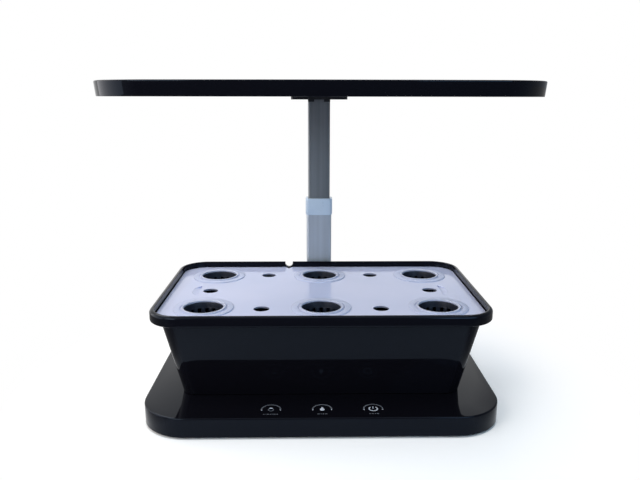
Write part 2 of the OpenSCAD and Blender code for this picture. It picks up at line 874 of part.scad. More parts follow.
module lamp_diffuser() {
    color([0.9, 0.92, 0.95])
        translate([0, window_y])
            slab(window_w + 2 * diffuser_lap, window_d + 2 * diffuser_lap, window_r + diffuser_lap,
                tray_top, tray_top + diffuser_t);
}

module led_board() {
    color("whitesmoke")
        difference() {
            translate([0, window_y])
                slab(led_board_w, led_board_d, led_board_r, led_board_under, led_board_top);
            for (at = led_posts_at)
                post(at, screw_d + 2 * press_gap, led_board_under - CUT, led_board_top + CUT);
        }
}

// Light diodes on the diode board's lower face: every third one is red
module leds(red) {
    for (i = [0:led_columns - 1], j = [0:led_rows - 1])
        if (((i + j) % 3 == 0) == red)
            translate([(i - (led_columns - 1) / 2) * led_pitch_x,
                window_y + (j - (led_rows - 1) / 2) * led_pitch_y, led_board_under - led_h / 2])
                cube([led_size, led_size, led_h], center = true);
}

module white_leds() color("lightyellow") leds(false);

module red_leds() color("red") leds(true);

module led_board_screws() {
    color("silver")
        for (at = led_posts_at)
            pan_screw(at, led_board_under, board_t + led_board_drop - 0.5);
}

module lamp_bracket() {
    sleeve_top = inner_top + sleeve_wall / 2;
    color([0.04, 0.04, 0.05])
        difference() {
            union() {
                translate([0, bracket_y])
                    slab(bracket_w, bracket_d, 4, bracket_z, lamp_z);
                translate([0, mast_y])
                    slab(sleeve_w, sleeve_d, 2, bracket_z, sleeve_top);
                for (x = [-1, 1], y = [-1, 1])
                    tube_tab(x, y);
            }
            translate([0, mast_y])
                slab(inner_w + 2 * press_gap, inner_d + 2 * press_gap, inner_r,
                    bracket_z - tab_h - CUT, inner_top);
            rod_x([0, mast_y, bracket_pin_z], pin_d + 2 * press_gap, sleeve_w + 2 * CUT);
            for (at = bracket_screws_at) {
                post(at, screw_d + 2 * press_gap, bracket_z - CUT, lamp_z + CUT);
                countersink(at, bracket_z, press_gap);
            }
        }
}

// A tab under the bracket's plate that lies against the upper tube's face, near its corner
module tube_tab(x, y) {
    tab_x = x * (inner_w - tab_w) / 2;
    tab_y = mast_y + y * (inner_d + tab_t) / 2;
    translate([tab_x - tab_w / 2, tab_y - tab_t / 2, bracket_z - tab_h])
        cube([tab_w, tab_t, tab_h + SINK]);
}

module bracket_pin() {
    color("silver")
        rod_x([0, mast_y, bracket_pin_z], pin_d, sleeve_w);
}

module bracket_screws() {
    color("silver")
        for (at = bracket_screws_at)
            flush_screw(at, bracket_z, bracket_t + tray_t + 4);
}

// ---- Tank ----

// How far the tank's outer face is set back from the rim at a height
function setback(z) = bottom_setback
    + (rim_overhang - bottom_setback) * (z - base_top) / (rim_bottom - base_top);

// The tapered body between two heights, drawn in by a distance
module tank_body(inset, z0, z1) {
    thin = 0.01;
    translate([0, tank_y])
        hull() {
            slab(rim_w - 2 * (setback(z0) + inset), rim_d - 2 * (setback(z0) + inset),
                tank_corner_r - inset, z0, z0 + thin, $fn = HULL_FN);
            slab(rim_w - 2 * (setback(z1) + inset), rim_d - 2 * (setback(z1) + inset),
                tank_corner_r - inset, z1 - thin, z1, $fn = HULL_FN);
        }
}

module tank() {
    color([0.03, 0.03, 0.04]) {
        difference() {
            union() {
                tank_body(0, base_top, rim_bottom + SINK);
                translate([0, tank_y])
                    slab(rim_w, rim_d, rim_corner_r, rim_bottom, rim_top);
            }
            translate([0, tank_y])
                slab(rim_w - 2 * rim_t, rim_d - 2 * rim_t, rim_corner_r - rim_t,
                    deck_under, rim_top + CUT);
            tank_body(tank_wall, tank_floor, deck_under + SINK);
            rim_notch();
        }
        difference() {
            post(float_at, stem_foot_d + 2 * (fit_gap + seat_t), tank_floor - SINK,
                tank_floor + stem_foot_t);
            post(float_at, stem_foot_d + 2 * fit_gap, tank_floor, tank_floor + stem_foot_t + CUT);
        }
    }
}

// The round-bottomed notch that lets a cable over the rear rim
module rim_notch() {
    rear_rim = tank_y + rim_d / 2;
    translate([-notch_x, 0, 0]) {
        rod_y([0, deck_top + notch_w / 2], notch_w, rear_rim - rim_t - CUT, rear_rim + CUT);
        translate([-notch_w / 2, rear_rim - rim_t - CUT, deck_top + notch_w / 2])
            cube([notch_w, rim_t + 2 * CUT, rim_h]);
    }
}

module deck() {
    skirt = setback(deck_under - deck_rib_h) + tank_wall + 2 * deck_gap;
    color([0.85, 0.87, 0.95])
        difference() {
            union() {
                translate([0, tank_y])
                    slab(deck_w, deck_d, rim_corner_r - rim_t - deck_gap, deck_under, deck_top);
                translate([0, tank_y])
                    difference() {
                        slab(rim_w - 2 * skirt, rim_d - 2 * skirt, tank_corner_r - tank_wall,
                            deck_under - deck_rib_h, deck_under + SINK);
                        slab(rim_w - 2 * (skirt + deck_rib_t), rim_d - 2 * (skirt + deck_rib_t),
                            tank_corner_r - tank_wall - deck_rib_t,
                            deck_under - deck_rib_h - CUT, deck_under);
                    }
            }
            for (at = pods_at)
                post(at, neck_d + 2 * pod_gap, deck_under - CUT, deck_top + CUT);
            for (at = vents_at)
                post(at, vent_d, deck_under - CUT, deck_top + CUT);
            for (side = [-1, 1])
                translate([side * grip_x, tank_y, deck_top - grip_depth])
                    linear_extrude(grip_depth + CUT)
                        grip_shape(side);
            translate([-notch_x, tank_y + deck_d / 2, deck_under - CUT])
                linear_extrude(deck_t + 2 * CUT)
                    polygon([[-deck_notch, CUT], [0, -deck_notch], [deck_notch, CUT]]);
        }
}

// A segment of a disc, its round edge towards the deck's end
module grip_shape(side) {
    intersection() {
        translate([side * (grip_w / 2 - grip_r), 0])
            circle(grip_r);
        translate([side * grip_w / 2, 0])
            square([2 * grip_w, grip_l + CUT], center = true);
    }
}

// ---- Grow baskets ----

module pod_collar(at) {
    collar_rim = deck_top + flange_t + bead_h;
    color([0.82, 0.84, 0.86])
        difference() {
            union() {
                post(at, flange_d, deck_top, deck_top + flange_t);
                post(at, neck_d, deck_top - neck_depth, collar_rim);
            }
            post(at, mouth_d, deck_top - neck_depth - CUT, collar_rim + CUT);
            post(at, basket_d + 2 * press_gap, deck_top - neck_depth - CUT, basket_top);
        }
}

module net_basket(at) {
    band_bottom = basket_top - basket_band_h;
    slot_bottom = basket_bottom + 4;
    slot_top = band_bottom - basket_wall / 2;
    color([0.06, 0.07, 0.09])
        translate([at[0], at[1], 0])
            difference() {
                union() {
                    post([0, 0], basket_d, band_bottom, basket_top);
                    translate([0, 0, basket_bottom])
                        cylinder(d1 = basket_bottom_d, d2 = basket_d - 0.4,
                            h = band_bottom - basket_bottom);
                }
                post([0, 0], basket_d - 2 * basket_wall, band_bottom, basket_top + CUT);
                translate([0, 0, basket_bottom + basket_wall])
                    cylinder(d1 = basket_bottom_d - 2 * basket_wall,
                        d2 = basket_d - 2 * basket_wall - 0.4,
                        h = band_bottom - basket_bottom - basket_wall);
                for (i = [0:slot_pairs - 1])
                    rotate(180 * i / slot_pairs)
                        translate([-basket_d, -slot_w / 2, slot_bottom])
                            cube([2 * basket_d, slot_w, slot_top - slot_bottom]);
                for (i = [0:5])
                    rotate(60 * i)
                        post([drain_ring_r, 0], drain_d, basket_bottom - CUT,
                            basket_bottom + basket_wall + CUT);
            }
}

// ---- Pump ----

module pump_motor() {
    color([0.1, 0.1, 0.11])
        difference() {
            translate([-pump_x, pump_y])
                slab(pump_w, motor_l, 3, cups_top, cups_top + pump_h);
            rod_y(pump_axis, rotor_d + 2 * rotor_gap, motor_front - CUT, well_end);
            rod_y(pump_axis, shaft_d + 2 * press_gap, motor_front, shaft_ends[1] + press_gap);
            for (at = cups_at)
                post(at, cup_neck_d + 2 * press_gap, cups_top - CUT, cups_top + cup_neck_h + press_gap);
        }
}

module pump_cover() {
    nozzle_at = [-pump_x, motor_front - (volute_l - volute_wall) / 2];
    nozzle_top = cups_top + pump_h + nozzle_l;
    slot_r = chamber_d / 4;
    color([0.13, 0.13, 0.14])
        difference() {
            union() {
                translate([-pump_x, motor_front - volute_l / 2])
                    slab(pump_w, volute_l, 1.5, cups_top, cups_top + pump_h);
                post(nozzle_at, nozzle_d, cups_top + pump_h - SINK, nozzle_top);
            }
            rod_y(pump_axis, chamber_d, volute_front + volute_wall, motor_front + CUT);
            rod_y(pump_axis, shaft_d + 2 * press_gap, shaft_ends[0] - press_gap, motor_front);
            for (i = [0:5])
                rod_y(pump_axis + slot_r * [cos(60 * i), sin(60 * i)], chamber_d / 6,
                    volute_front - CUT, volute_front + volute_wall + CUT);
            post(nozzle_at, nozzle_bore_d, pump_axis[1], nozzle_top + CUT);
        }
}

module pump_impeller() {
    disc_rear = motor_front - end_play;
    disc_front = disc_rear - disc_t;
    blade_t = 1.2;
    color([0.25, 0.25, 0.27])
        difference() {
            union() {
                rod_y(pump_axis, rotor_d, disc_rear - SINK, motor_front + rotor_l);
                rod_y(pump_axis, impeller_d, disc_front, disc_rear);
                rod_y(pump_axis, 3 * shaft_d, disc_front - blade_h, disc_front + SINK);
                translate([-pump_x, disc_front + SINK, pump_axis[1]])
                    rotate([90, 0, 0])
                        for (i = [0:5])
                            rotate(60 * i)
                                translate([shaft_d, -blade_t / 2, 0])
                                    cube([impeller_d / 2 - shaft_d - 0.4, blade_t, blade_h + SINK]);
            }
            rod_y(pump_axis, shaft_d + 2 * shaft_gap, volute_front, well_end);
        }
}

module pump_shaft() {
    color("white")
        rod_y(pump_axis, shaft_d, shaft_ends[0], shaft_ends[1]);
}

module suction_cups() {
    color([0.2, 0.2, 0.2])
        for (at = cups_at) {
            translate([at[0], at[1], tank_floor])
                cylinder(d1 = cup_d, d2 = cup_d - 3, h = cup_h);
            post(at, cup_neck_d, cups_top - SINK, cups_top + cup_neck_h);
        }
}

// ---- Water level float ----

module float_stem() {
    stem_top = tank_floor + stem_h;
    color([0.75, 0.75, 0.78]) {
        post(float_at, stem_foot_d, tank_floor, tank_floor + stem_foot_t);
        post(float_at, stem_d, tank_floor, stem_top);
        post(float_at, stem_cap_d, stem_top - stem_foot_t, stem_top);
    }
}

module level_float() {
    color([0.9, 0.5, 0.1])
        difference() {
            post(float_at, float_d, float_bottom, float_top);
            post(float_at, stem_d + 2 * float_gap, float_bottom - CUT, float_top + CUT);
            difference() {
                post(float_at, magnet_d + 2 * press_gap, float_top - magnet_t, float_top + CUT);
                post(float_at, magnet_hole_d - 2 * press_gap, float_top - magnet_t - CUT,
                    float_top + 2 * CUT);
            }
        }
}

module float_magnet() {
    color([0.3, 0.3, 0.32])
        difference() {
            post(float_at, magnet_d, float_top - magnet_t, float_top);
            post(float_at, magnet_hole_d, float_top - magnet_t - CUT, float_top + CUT);
        }
}

// ---- Nodes ----

base_cover();
base_plate();
rubber_feet();
base_screws();
control_board();
touch_rings();
board_screws();
level_sensor();
power_socket();
power_contact();
pump_socket();
pump_contact();
mast_foot();
mast_foot_screws();
mast_pin();
mast_tube();
mast_collar();
mast_inner_tube();
mast_glide();
lamp_bracket();
bracket_pin();
bracket_screws();
lamp_housing();
lamp_tray();
lamp_screws();
lamp_diffuser();
led_board();
white_leds();
red_leds();
led_board_screws();
tank();
deck();
pod_collar(pods_at[0]);  // pod_collar_1
pod_collar(pods_at[1]);  // pod_collar_2
pod_collar(pods_at[2]);  // pod_collar_3
pod_collar(pods_at[3]);  // pod_collar_4
pod_collar(pods_at[4]);  // pod_collar_5
pod_collar(pods_at[5]);  // pod_collar_6
net_basket(pods_at[0]);  // net_basket_1
net_basket(pods_at[1]);  // net_basket_2
net_basket(pods_at[2]);  // net_basket_3
net_basket(pods_at[3]);  // net_basket_4
net_basket(pods_at[4]);  // net_basket_5
net_basket(pods_at[5]);  // net_basket_6
pump_motor();
pump_cover();
pump_impeller();
pump_shaft();
suction_cups();
float_stem();
level_float();
float_magnet();
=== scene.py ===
import json
import math

import bmesh
import bpy
from mathutils import Matrix, Vector


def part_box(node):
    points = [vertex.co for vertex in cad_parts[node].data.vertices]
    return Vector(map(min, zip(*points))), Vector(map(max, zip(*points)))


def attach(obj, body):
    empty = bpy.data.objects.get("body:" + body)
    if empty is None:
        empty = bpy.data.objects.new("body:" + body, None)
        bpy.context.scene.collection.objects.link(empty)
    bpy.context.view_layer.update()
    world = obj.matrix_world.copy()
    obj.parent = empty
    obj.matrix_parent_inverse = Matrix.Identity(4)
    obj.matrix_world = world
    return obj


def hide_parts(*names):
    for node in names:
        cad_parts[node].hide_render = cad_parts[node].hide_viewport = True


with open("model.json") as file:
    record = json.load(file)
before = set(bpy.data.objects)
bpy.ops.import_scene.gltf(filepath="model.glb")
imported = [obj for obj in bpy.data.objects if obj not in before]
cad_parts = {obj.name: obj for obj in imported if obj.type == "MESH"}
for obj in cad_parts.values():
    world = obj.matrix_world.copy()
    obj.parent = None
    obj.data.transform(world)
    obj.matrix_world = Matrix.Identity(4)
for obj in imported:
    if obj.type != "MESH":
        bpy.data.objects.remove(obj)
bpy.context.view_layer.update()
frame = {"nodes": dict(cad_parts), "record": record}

MM = 0.001
OVERCUT = 1 * MM  # how far a cutter reaches past the faces that it cuts
PODS = range(1, 7)

# Camera: place, aim and lens, with the image taken as 640 x 480
IMAGE_W = 640
FOCAL_PX = 640
SENSOR = 36.0
CAMERA_AT = Vector((-10.71, -606.55, 281.79)) * MM
CAMERA_DOWN = 0.2207
CAMERA_TURN = 0.0167
CAMERA_ROLL = -0.0015

# Base
BASE_CORNER = 42 * MM
BASE_WALL = 2.2 * MM
BASE_EDGE = 1.3 * MM
BASE_LOW_EDGE = 0.3 * MM
SOCKET_HOLE_R = 4.05 * MM
SOCKET_HOLE_L = 10 * MM

# Marks of the touch fields, with angles in degrees
PRINT_T = 0.05 * MM
ARC_R = 8.15 * MM
ARC_STROKE = 1.2 * MM
ARC_FROM = -10
ARC_TO = 190
ARC_TIP_R = 0.42 * ARC_STROKE
ARC_TIP_T = 1.4 * PRINT_T
OPEN_RING = (130, 410)
FLASK_R = 2.2 * MM
FLASK_STROKE = 0.8 * MM
FLASK_Y = -0.6 * MM
CAP_R = 1.6 * MM
CAP_Y = 1.3 * MM
DROP_R = 2 * MM
DROP_Y = -0.7 * MM
DROP_ARC = (150, 390)
DROP_POINT = 2.2  # distance from the drop's centre to its point, in radii
POWER_R = 3.6 * MM
POWER_STROKE = 1 * MM
BAR_HALF_W = 0.45 * MM
BAR_FROM = 0.6 * MM
BAR_TO = 4 * MM
DASH_H = 1.1 * MM
DASH_Y = -8.6 * MM
DASH_GAP = 0.6 * MM
DASH_CORNER = 0.3 * MM

# Mast
MAST_CORNER = 3 * MM
MAST_HOLE_GAP = 0.3 * MM
BORE_GAP = 0.05 * MM
COLLAR_CORNER = 3.8 * MM
COLLAR_TAPER_H = 1.6 * MM
COLLAR_TAPER = 0.7 * MM
COLLAR_EDGE = 0.35 * MM
COLLAR_LIP = 1 * MM
TUBE_CORNER = 2.1 * MM
TUBE_GAP = 0.15 * MM
BRACKET_EDGE = 0.4 * MM

# Lamp
LAMP_CORNER = 60 * MM
LAMP_BOW = 1500 * MM
LAMP_WALL = 2 * MM
LAMP_TOP_EDGE = 1.2 * MM
LAMP_LOW_EDGE = 0.5 * MM
LAMP_DRAFT = 1.2 * MM

# Tank
RIM_CORNER = 28 * MM
RIM_WALL = 4 * MM
RIM_HEIGHT = 9.8 * MM
RIM_EDGE = 0.6 * MM
RIM_TOP_EDGE = 3 * MM
RIM_LOW_EDGE = 1.2 * MM
RIM_OVERHANG = 10 * MM
BOTTOM_SETBACK = 24.5 * MM
TANK_CORNER = 14 * MM
TANK_WALL = 2.5 * MM
TANK_FLOOR = 2.5 * MM
TANK_FILLET = 3 * MM
TANK_LOW_EDGE = 1 * MM
NOTCH_X = -33.4 * MM
NOTCH_R = 4.1 * MM

# Ring on the tank's floor round the float's foot
RING_GAP = 0.3 * MM
RING_WALL = 1.6 * MM
RING_H = 1.5 * MM
RING_EDGE = 0.3 * MM
RING_LEAD = 0.2 * MM

# Deck
DECK_T = 2.2 * MM
DECK_EDGE = 0.5 * MM
DECK_GAP = 0.4 * MM
DECK_SEAM = 0.8 * MM
DECK_BEVEL = 0.3 * MM
DECK_CREASE = 12  # degrees
RIB_T = 1.6 * MM
POD_HOLE_R = 20.5 * MM
POD_HOLE_LIFT = 2 * MM
VENT_R = 7.15 * MM
VENT_OFFSET = 2.6 * MM
VENT_END = 1.6 * MM
VENT_LIP = 0.35 * MM
VENT_FLARE = 2.2 * MM
GRIP_END = 29 * MM
GRIP_L = 33 * MM
GRIP_W = 7 * MM
GRIP_DEPTH = 1.7 * MM
GRIP_DRAFT = 0.5 * MM
GRIP_SKIN = 0.02 * MM
V_NOTCH = 4.5 * MM
V_NOTCH_DEPTH = 6.5 * MM

# Basket collars
FLANGE_T = 0.8 * MM
FLANGE_EDGE = 0.6 * MM
NECK_R = 20.2 * MM
BEAD_GROOVE = 1.2 * MM
GROOVE_SLOPE = 0.3 * MM
BEAD_DRAFT = 0.3 * MM
MOUTH_R = 17.8 * MM
MOUTH_EDGE = 0.7 * MM
EDGE_STEP = 0.2 * MM
BASKET_SEAT_R = 19.05 * MM
SEAT_SLOPE = 0.3 * MM
LIP_H = 2.4 * MM
LIP_SHOWN = 1.5 * MM
COLLAR_CREASE = 40  # degrees
BASKET_EDGE = 0.25 * MM
SHADE_RISE = (0.1 * MM, 0.5 * MM)  # heights over the flange between which the shade changes

# Floor: its size, and the radii between which it turns to plain white
FLOOR_SIZE = 12
FLOOR_T = 0.01
FLOOR_FRONT = -0.3
WHITE_RADII = (0.2, -FLOOR_FRONT)
NEAR_GLOW = 0.25
GLOW_BLEND = 0.5 * MM

# Dim places that only reflections show: ranges of X on the floor, and of X and Y in directions
CARD_FROM = (0.16, 0.20)
CARD_TO = (0.5, 0.7)
CARD_SHARE = 0.75
CARD_GLOW = 0.02
DIM_FLOOR_X = (0.6, 0.9)
DIM_FLOOR_GLOW = 0.35
DIM_RIGHT_X = (0.30, 0.36)
DIM_RIGHT_SHARE = 0.25
WHITE_BEHIND_Y = (-0.8, -0.1)

# Light
SOFT_LIGHT = 0.3
SOFT_COLOUR = (0.90, 0.95, 1.0)
ROOM_COLOUR = (0.095, 0.12, 0.165)
WHITE = (1, 1, 1)
WARM = (1.0, 0.95, 0.88)
PALE_WARM = (1.0, 0.95, 0.90)
COOL = (0.45, 0.75, 1.0)
PALE_COOL = (0.50, 0.76, 1.0)
LIGHTS = (
    # name, place, aim, (width, height), power, colour
    ("high_left", (-0.7, -0.9, 1.0), (0, 0, 0.12), (0.6, 0.4), 3, WARM),
    ("high_right", (0.6, -0.9, 1.0), (0, 0, 0.12), (0.6, 0.4), 1.5, COOL),
    ("low_left", (-0.7, -0.9, 0.55), (0, 0, 0.2), (0.6, 0.3), 4, PALE_WARM),
    ("low_right", (0.6, -0.9, 0.55), (0, 0, 0.2), (0.6, 0.3), 3.5, PALE_COOL),
    ("left", (-1.0, -0.1, 1.0), (0, 0, 0.1), (1.8, 1.2), 8, (1.0, 0.97, 0.95)),
    ("left_card", (-1.1, -0.02, 0.26), (0, 0, 0.26), (1.2, 0.5), 3.2, (1.0, 0.97, 1.0)),
    ("behind", (-0.35, 1.05, 1.25), (0, 0, 0.1), (1.4, 0.45), 10, (0.97, 0.97, 1.0)),
    ("above", (0, 0.2, 1.7), (0, 0, 0), (1.2, 1.2), 8, WHITE),
)

# Parts of a noise's range that its changes of value and of colour are spread over
VALUE_SPAN = (0.3, 0.7)
COLOUR_SPAN = (0.35, 0.65)

# Sockets of a colour mix, which share their names with those of other kinds of mix
MIX_A = 6
MIX_B = 7
MIX_RESULT = 2


# ---- Shader nodes ----

def axis_of(tree, vector, axis):
    """One coordinate of a vector."""
    split = tree.nodes.new("ShaderNodeSeparateXYZ")
    tree.links.new(vector, split.inputs["Vector"])
    return split.outputs[axis]


def remap(tree, value, low, high, to_low=0, to_high=1):
    """A number carried from one range to another and kept inside it."""
    span = tree.nodes.new("ShaderNodeMapRange")
    span.inputs["From Min"].default_value = low
    span.inputs["From Max"].default_value = high
    span.inputs["To Min"].default_value = to_low
    span.inputs["To Max"].default_value = to_high
    tree.links.new(value, span.inputs["Value"])
    return span.outputs["Result"]


def combined(tree, operation, first, second):
    """The result of a maths operation on two numbers."""
    maths = tree.nodes.new("ShaderNodeMath")
    maths.operation = operation
    tree.links.new(first, maths.inputs[0])
    tree.links.new(second, maths.inputs[1])
    return maths.outputs["Value"]


def vector_step(tree, operation, vector, constant=None):
    """The outputs of a vector operation, with a constant as its second vector."""
    step = tree.nodes.new("ShaderNodeVectorMath")
    step.operation = operation
    if constant is not None:
        step.inputs[1].default_value = constant
    tree.links.new(vector, step.inputs[0])
    return step.outputs


def mixed(tree, share, first, second):
    """Two shaders mixed by the share of the second."""
    mix = tree.nodes.new("ShaderNodeMixShader")
    tree.links.new(share, mix.inputs["Fac"])
    tree.links.new(first, mix.inputs[1])
    tree.links.new(second, mix.inputs[2])
    return mix.outputs["Shader"]


def ray(tree, kind):
    """An output of Light Path: 1 for rays of one kind and 0 for others."""
    return tree.nodes.new("ShaderNodeLightPath").outputs[kind]


def is_seen(tree):
    """1 for rays from the camera, or by way of metal or glass, and 0 for others."""
    seen = ray(tree, "Is Camera Ray")
    for kind in ("Is Glossy Ray", "Is Transmission Ray"):
        seen = combined(tree, "MAXIMUM", seen, ray(tree, kind))
    return seen


# ---- Materials ----

def new_material(name, colour, roughness, metallic=0.0, ior=1.5, transmission=0.0):
    """A Principled material; returns the material, its node tree and the shader."""
    mat = bpy.data.materials.new(name)
    mat.use_nodes = True
    tree = mat.node_tree
    shader = tree.nodes["Principled BSDF"]
    shader.inputs["Base Color"].default_value = (*colour, 1.0)
    shader.inputs["Roughness"].default_value = roughness
    shader.inputs["Metallic"].default_value = metallic
    shader.inputs["IOR"].default_value = ior
    shader.inputs["Transmission Weight"].default_value = transmission
    return mat, tree, shader


def object_noise(tree, scale, detail=3.0, stretch=(1, 1, 1)):
    """Noise over the object's own coordinates."""
    coords = tree.nodes.new("ShaderNodeTexCoord")
    mapping = tree.nodes.new("ShaderNodeMapping")
    mapping.inputs["Scale"].default_value = stretch
    noise = tree.nodes.new("ShaderNodeTexNoise")
    noise.inputs["Scale"].default_value = scale
    noise.inputs["Detail"].default_value = detail
    tree.links.new(coords.outputs["Object"], mapping.inputs["Vector"])
    tree.links.new(mapping.outputs["Vector"], noise.inputs["Vector"])
    return noise


def vary(tree, noise, low, high, socket):
    """Drives a number socket from a noise, between two values."""
    tree.links.new(remap(tree, noise.outputs["Fac"], *VALUE_SPAN, low, high), socket)


def tint(tree, noise, dark, light, socket):
    """Drives a colour socket from a noise, between two colours."""
    ramp = tree.nodes.new("ShaderNodeValToRGB")
    for stop, position, colour in zip(ramp.color_ramp.elements, COLOUR_SPAN, (dark, light)):
        stop.position = position
        stop.color = (*colour, 1)
    tree.links.new(noise.outputs["Fac"], ramp.inputs["Fac"])
    tree.links.new(ramp.outputs["Color"], socket)


def bump(tree, noise, shader, strength, distance):
    """Adds a noise to the shader's normal."""
    node = tree.nodes.new("ShaderNodeBump")
    node.inputs["Strength"].default_value = strength
    node.inputs["Distance"].default_value = distance
    tree.links.new(noise.outputs["Fac"], node.inputs["Height"])
    tree.links.new(node.outputs["Normal"], shader.inputs["Normal"])


def piano_black():
    """Polished black plastic with the faint ripple of a moulding."""
    mat, tree, shader = new_material("piano_black", (0.0037, 0.0036, 0.0056), 0.05, ior=1.25)
    shader.inputs["Specular Tint"].default_value = (0.45, 0.62, 0.85, 1)
    vary(tree, object_noise(tree, scale=40), 0.03, 0.065, shader.inputs["Roughness"])
    bump(tree, object_noise(tree, scale=26, detail=1), shader, strength=0.05, distance=0.0002)
    return mat


def moulded(name, dark, light, roughness, grain=900, depth=0.00004, ior=1.5):
    """Moulded plastic or rubber with a fine grain and a slight change of shade."""
    mat, tree, shader = new_material(name, light, roughness, ior=ior)
    rough = shader.inputs["Roughness"]
    tint(tree, object_noise(tree, scale=35), dark, light, shader.inputs["Base Color"])
    vary(tree, object_noise(tree, scale=120), roughness * 0.85, roughness * 1.15, rough)
    bump(tree, object_noise(tree, scale=grain, detail=2), shader, strength=0.4, distance=depth)
    return mat


def deck_gloss():
    """The deck's polished lilac-white plastic."""
    dark, light = (0.50, 0.54, 0.73), (0.54, 0.57, 0.75)
    mat, tree, shader = new_material("deck_gloss", (0.52, 0.56, 0.75), 0.1, ior=1.38)
    tint(tree, object_noise(tree, scale=12, detail=2), dark, light, shader.inputs["Base Color"])
    vary(tree, object_noise(tree, scale=60), 0.06, 0.13, shader.inputs["Roughness"])
    bump(tree, object_noise(tree, scale=30, detail=1), shader, strength=0.04, distance=0.0003)
    return mat


def frosted():
    """The collars' milky plastic, with one shade on the flange and one on the bead over it."""
    flange_shade, bead_shade = (0.45, 0.49, 0.65), (0.47, 0.50, 0.62)
    mat, tree, shader = new_material("frosted_collar", (0.60, 0.63, 0.75), 0.35, ior=1.35)
    flange_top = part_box("deck")[1].z + FLANGE_T
    height = axis_of(tree, tree.nodes.new("ShaderNodeTexCoord").outputs["Object"], "Z")
    shade = tree.nodes.new("ShaderNodeMix")
    shade.data_type = "RGBA"
    shade.inputs[MIX_A].default_value = (*flange_shade, 1)
    shade.inputs[MIX_B].default_value = (*bead_shade, 1)
    rise = remap(tree, height, flange_top + SHADE_RISE[0], flange_top + SHADE_RISE[1])
    tree.links.new(rise, shade.inputs["Factor"])
    tree.links.new(shade.outputs[MIX_RESULT], shader.inputs["Base Color"])
    vary(tree, object_noise(tree, scale=200), 0.32, 0.42, shader.inputs["Roughness"])
    bump(tree, object_noise(tree, scale=500, detail=2), shader, strength=0.05, distance=0.00004)
    return mat


def brushed(name, dark, light, roughness, lines):
    """Anodised aluminium with drawing lines along the object's Z axis."""
    mat, tree, shader = new_material(name, light, roughness, metallic=0.6)
    marks = object_noise(tree, scale=lines, detail=4, stretch=(1, 1, 0.01))
    tint(tree, marks, dark, light, shader.inputs["Base Color"])
    vary(tree, marks, roughness * 0.85, roughness * 1.2, shader.inputs["Roughness"])
    bump(tree, marks, shader, strength=0.12, distance=0.00005)
    return mat


def bare_metal(name, colour, roughness):
    """Turned or stamped metal with fine marks."""
    mat, tree, shader = new_material(name, colour, roughness, metallic=1.0)
    rough = shader.inputs["Roughness"]
    vary(tree, object_noise(tree, scale=400), roughness * 0.7, roughness * 1.3, rough)
    bump(tree, object_noise(tree, scale=1500, detail=2), shader, strength=0.1, distance=0.00003)
    return mat


def milky():
    """The lamp's diffuser sheet."""
    milk = (0.86, 0.88, 0.92)
    mat, tree, shader = new_material("diffuser_milk", milk, 0.35, ior=1.45, transmission=0.35)
    vary(tree, object_noise(tree, scale=90), 0.3, 0.4, shader.inputs["Roughness"])
    bump(tree, object_noise(tree, scale=900, detail=2), shader, strength=0.3, distance=0.00006)
    return mat


MATERIALS = {
    "gloss_black": piano_black(),
    "satin_black": moulded("satin_black", (0.010, 0.010, 0.013), (0.016, 0.016, 0.020), 0.35),
    "socket_black": moulded("socket_black", (0.02, 0.02, 0.022), (0.03, 0.03, 0.034), 0.5),
    "rubber": moulded("soft_rubber", (0.018, 0.018, 0.018), (0.03, 0.03, 0.03), 0.75,
                      grain=700, depth=0.0001),
    "steel": bare_metal("screw_steel", (0.60, 0.60, 0.62), 0.3),
    "circuit": moulded("circuit_green", (0.01, 0.09, 0.035), (0.02, 0.13, 0.05), 0.4),
    "contact_brass": bare_metal("contact_brass", (0.72, 0.52, 0.22), 0.3),
    "mast_aluminium": brushed("mast_aluminium", (0.46, 0.50, 0.55), (0.53, 0.58, 0.64), 0.38, 260),
    "collar_grey": moulded("collar_grey", (0.45, 0.55, 0.67), (0.50, 0.60, 0.71), 0.3),
    "diffuser": milky(),
    "diode_board": moulded("diode_board", (0.74, 0.75, 0.77), (0.82, 0.83, 0.85), 0.45),
    "white_diode": moulded("white_diode", (0.80, 0.68, 0.22), (0.88, 0.78, 0.36), 0.3),
    "red_diode": moulded("red_diode", (0.50, 0.03, 0.03), (0.62, 0.06, 0.05), 0.3),
    "deck_white": deck_gloss(),
    "frosted": frosted(),
    "basket_black": moulded("basket_black", (0.007, 0.010, 0.018), (0.012, 0.016, 0.028), 0.4,
                            ior=1.3),
    "pump_plastic": moulded("pump_plastic", (0.012, 0.012, 0.014), (0.022, 0.022, 0.025), 0.4),
    "impeller_grey": moulded("impeller_grey", (0.10, 0.10, 0.11), (0.15, 0.15, 0.16), 0.45),
    "ceramic": moulded("ceramic_white", (0.74, 0.74, 0.72), (0.80, 0.80, 0.78), 0.2),
    "stem_plastic": moulded("stem_plastic", (0.42, 0.44, 0.47), (0.50, 0.52, 0.55), 0.35),
    "float_orange": moulded("float_orange", (0.60, 0.19, 0.03), (0.70, 0.26, 0.05), 0.5),
    "magnet": moulded("magnet_black", (0.03, 0.03, 0.033), (0.05, 0.05, 0.055), 0.4),
}
# A darker copy of the mast's aluminium for the upper tube: painted shade for the lamp's shadow
# over the mast's top.
SHADED_UPPER_TUBE = brushed("upper_tube_painted_shade", (0.19, 0.205, 0.22), (0.24, 0.255, 0.27), 0.38, 260)
PRINT_GREY = moulded("print_grey", (0.10, 0.11, 0.13), (0.14, 0.15, 0.17), 0.4)
PRINT_PALE = moulded("print_pale", (0.55, 0.60, 0.68), (0.66, 0.70, 0.78), 0.4)


# ---- Outlines ----

def centre_of(node):
    """The middle of a CAD node's box."""
    low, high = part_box(node)
    return (low + high) / 2


def arc_points(centre, r, start, end, z=0.0, steps=16):
    """Points along an arc between two angles in degrees, at a height."""
    points = []
    for i in range(steps + 1):
        a = math.radians(start + (end - start) * i / steps)
        points.append(Vector((centre[0] + r * math.cos(a), centre[1] + r * math.sin(a), z)))
    return points


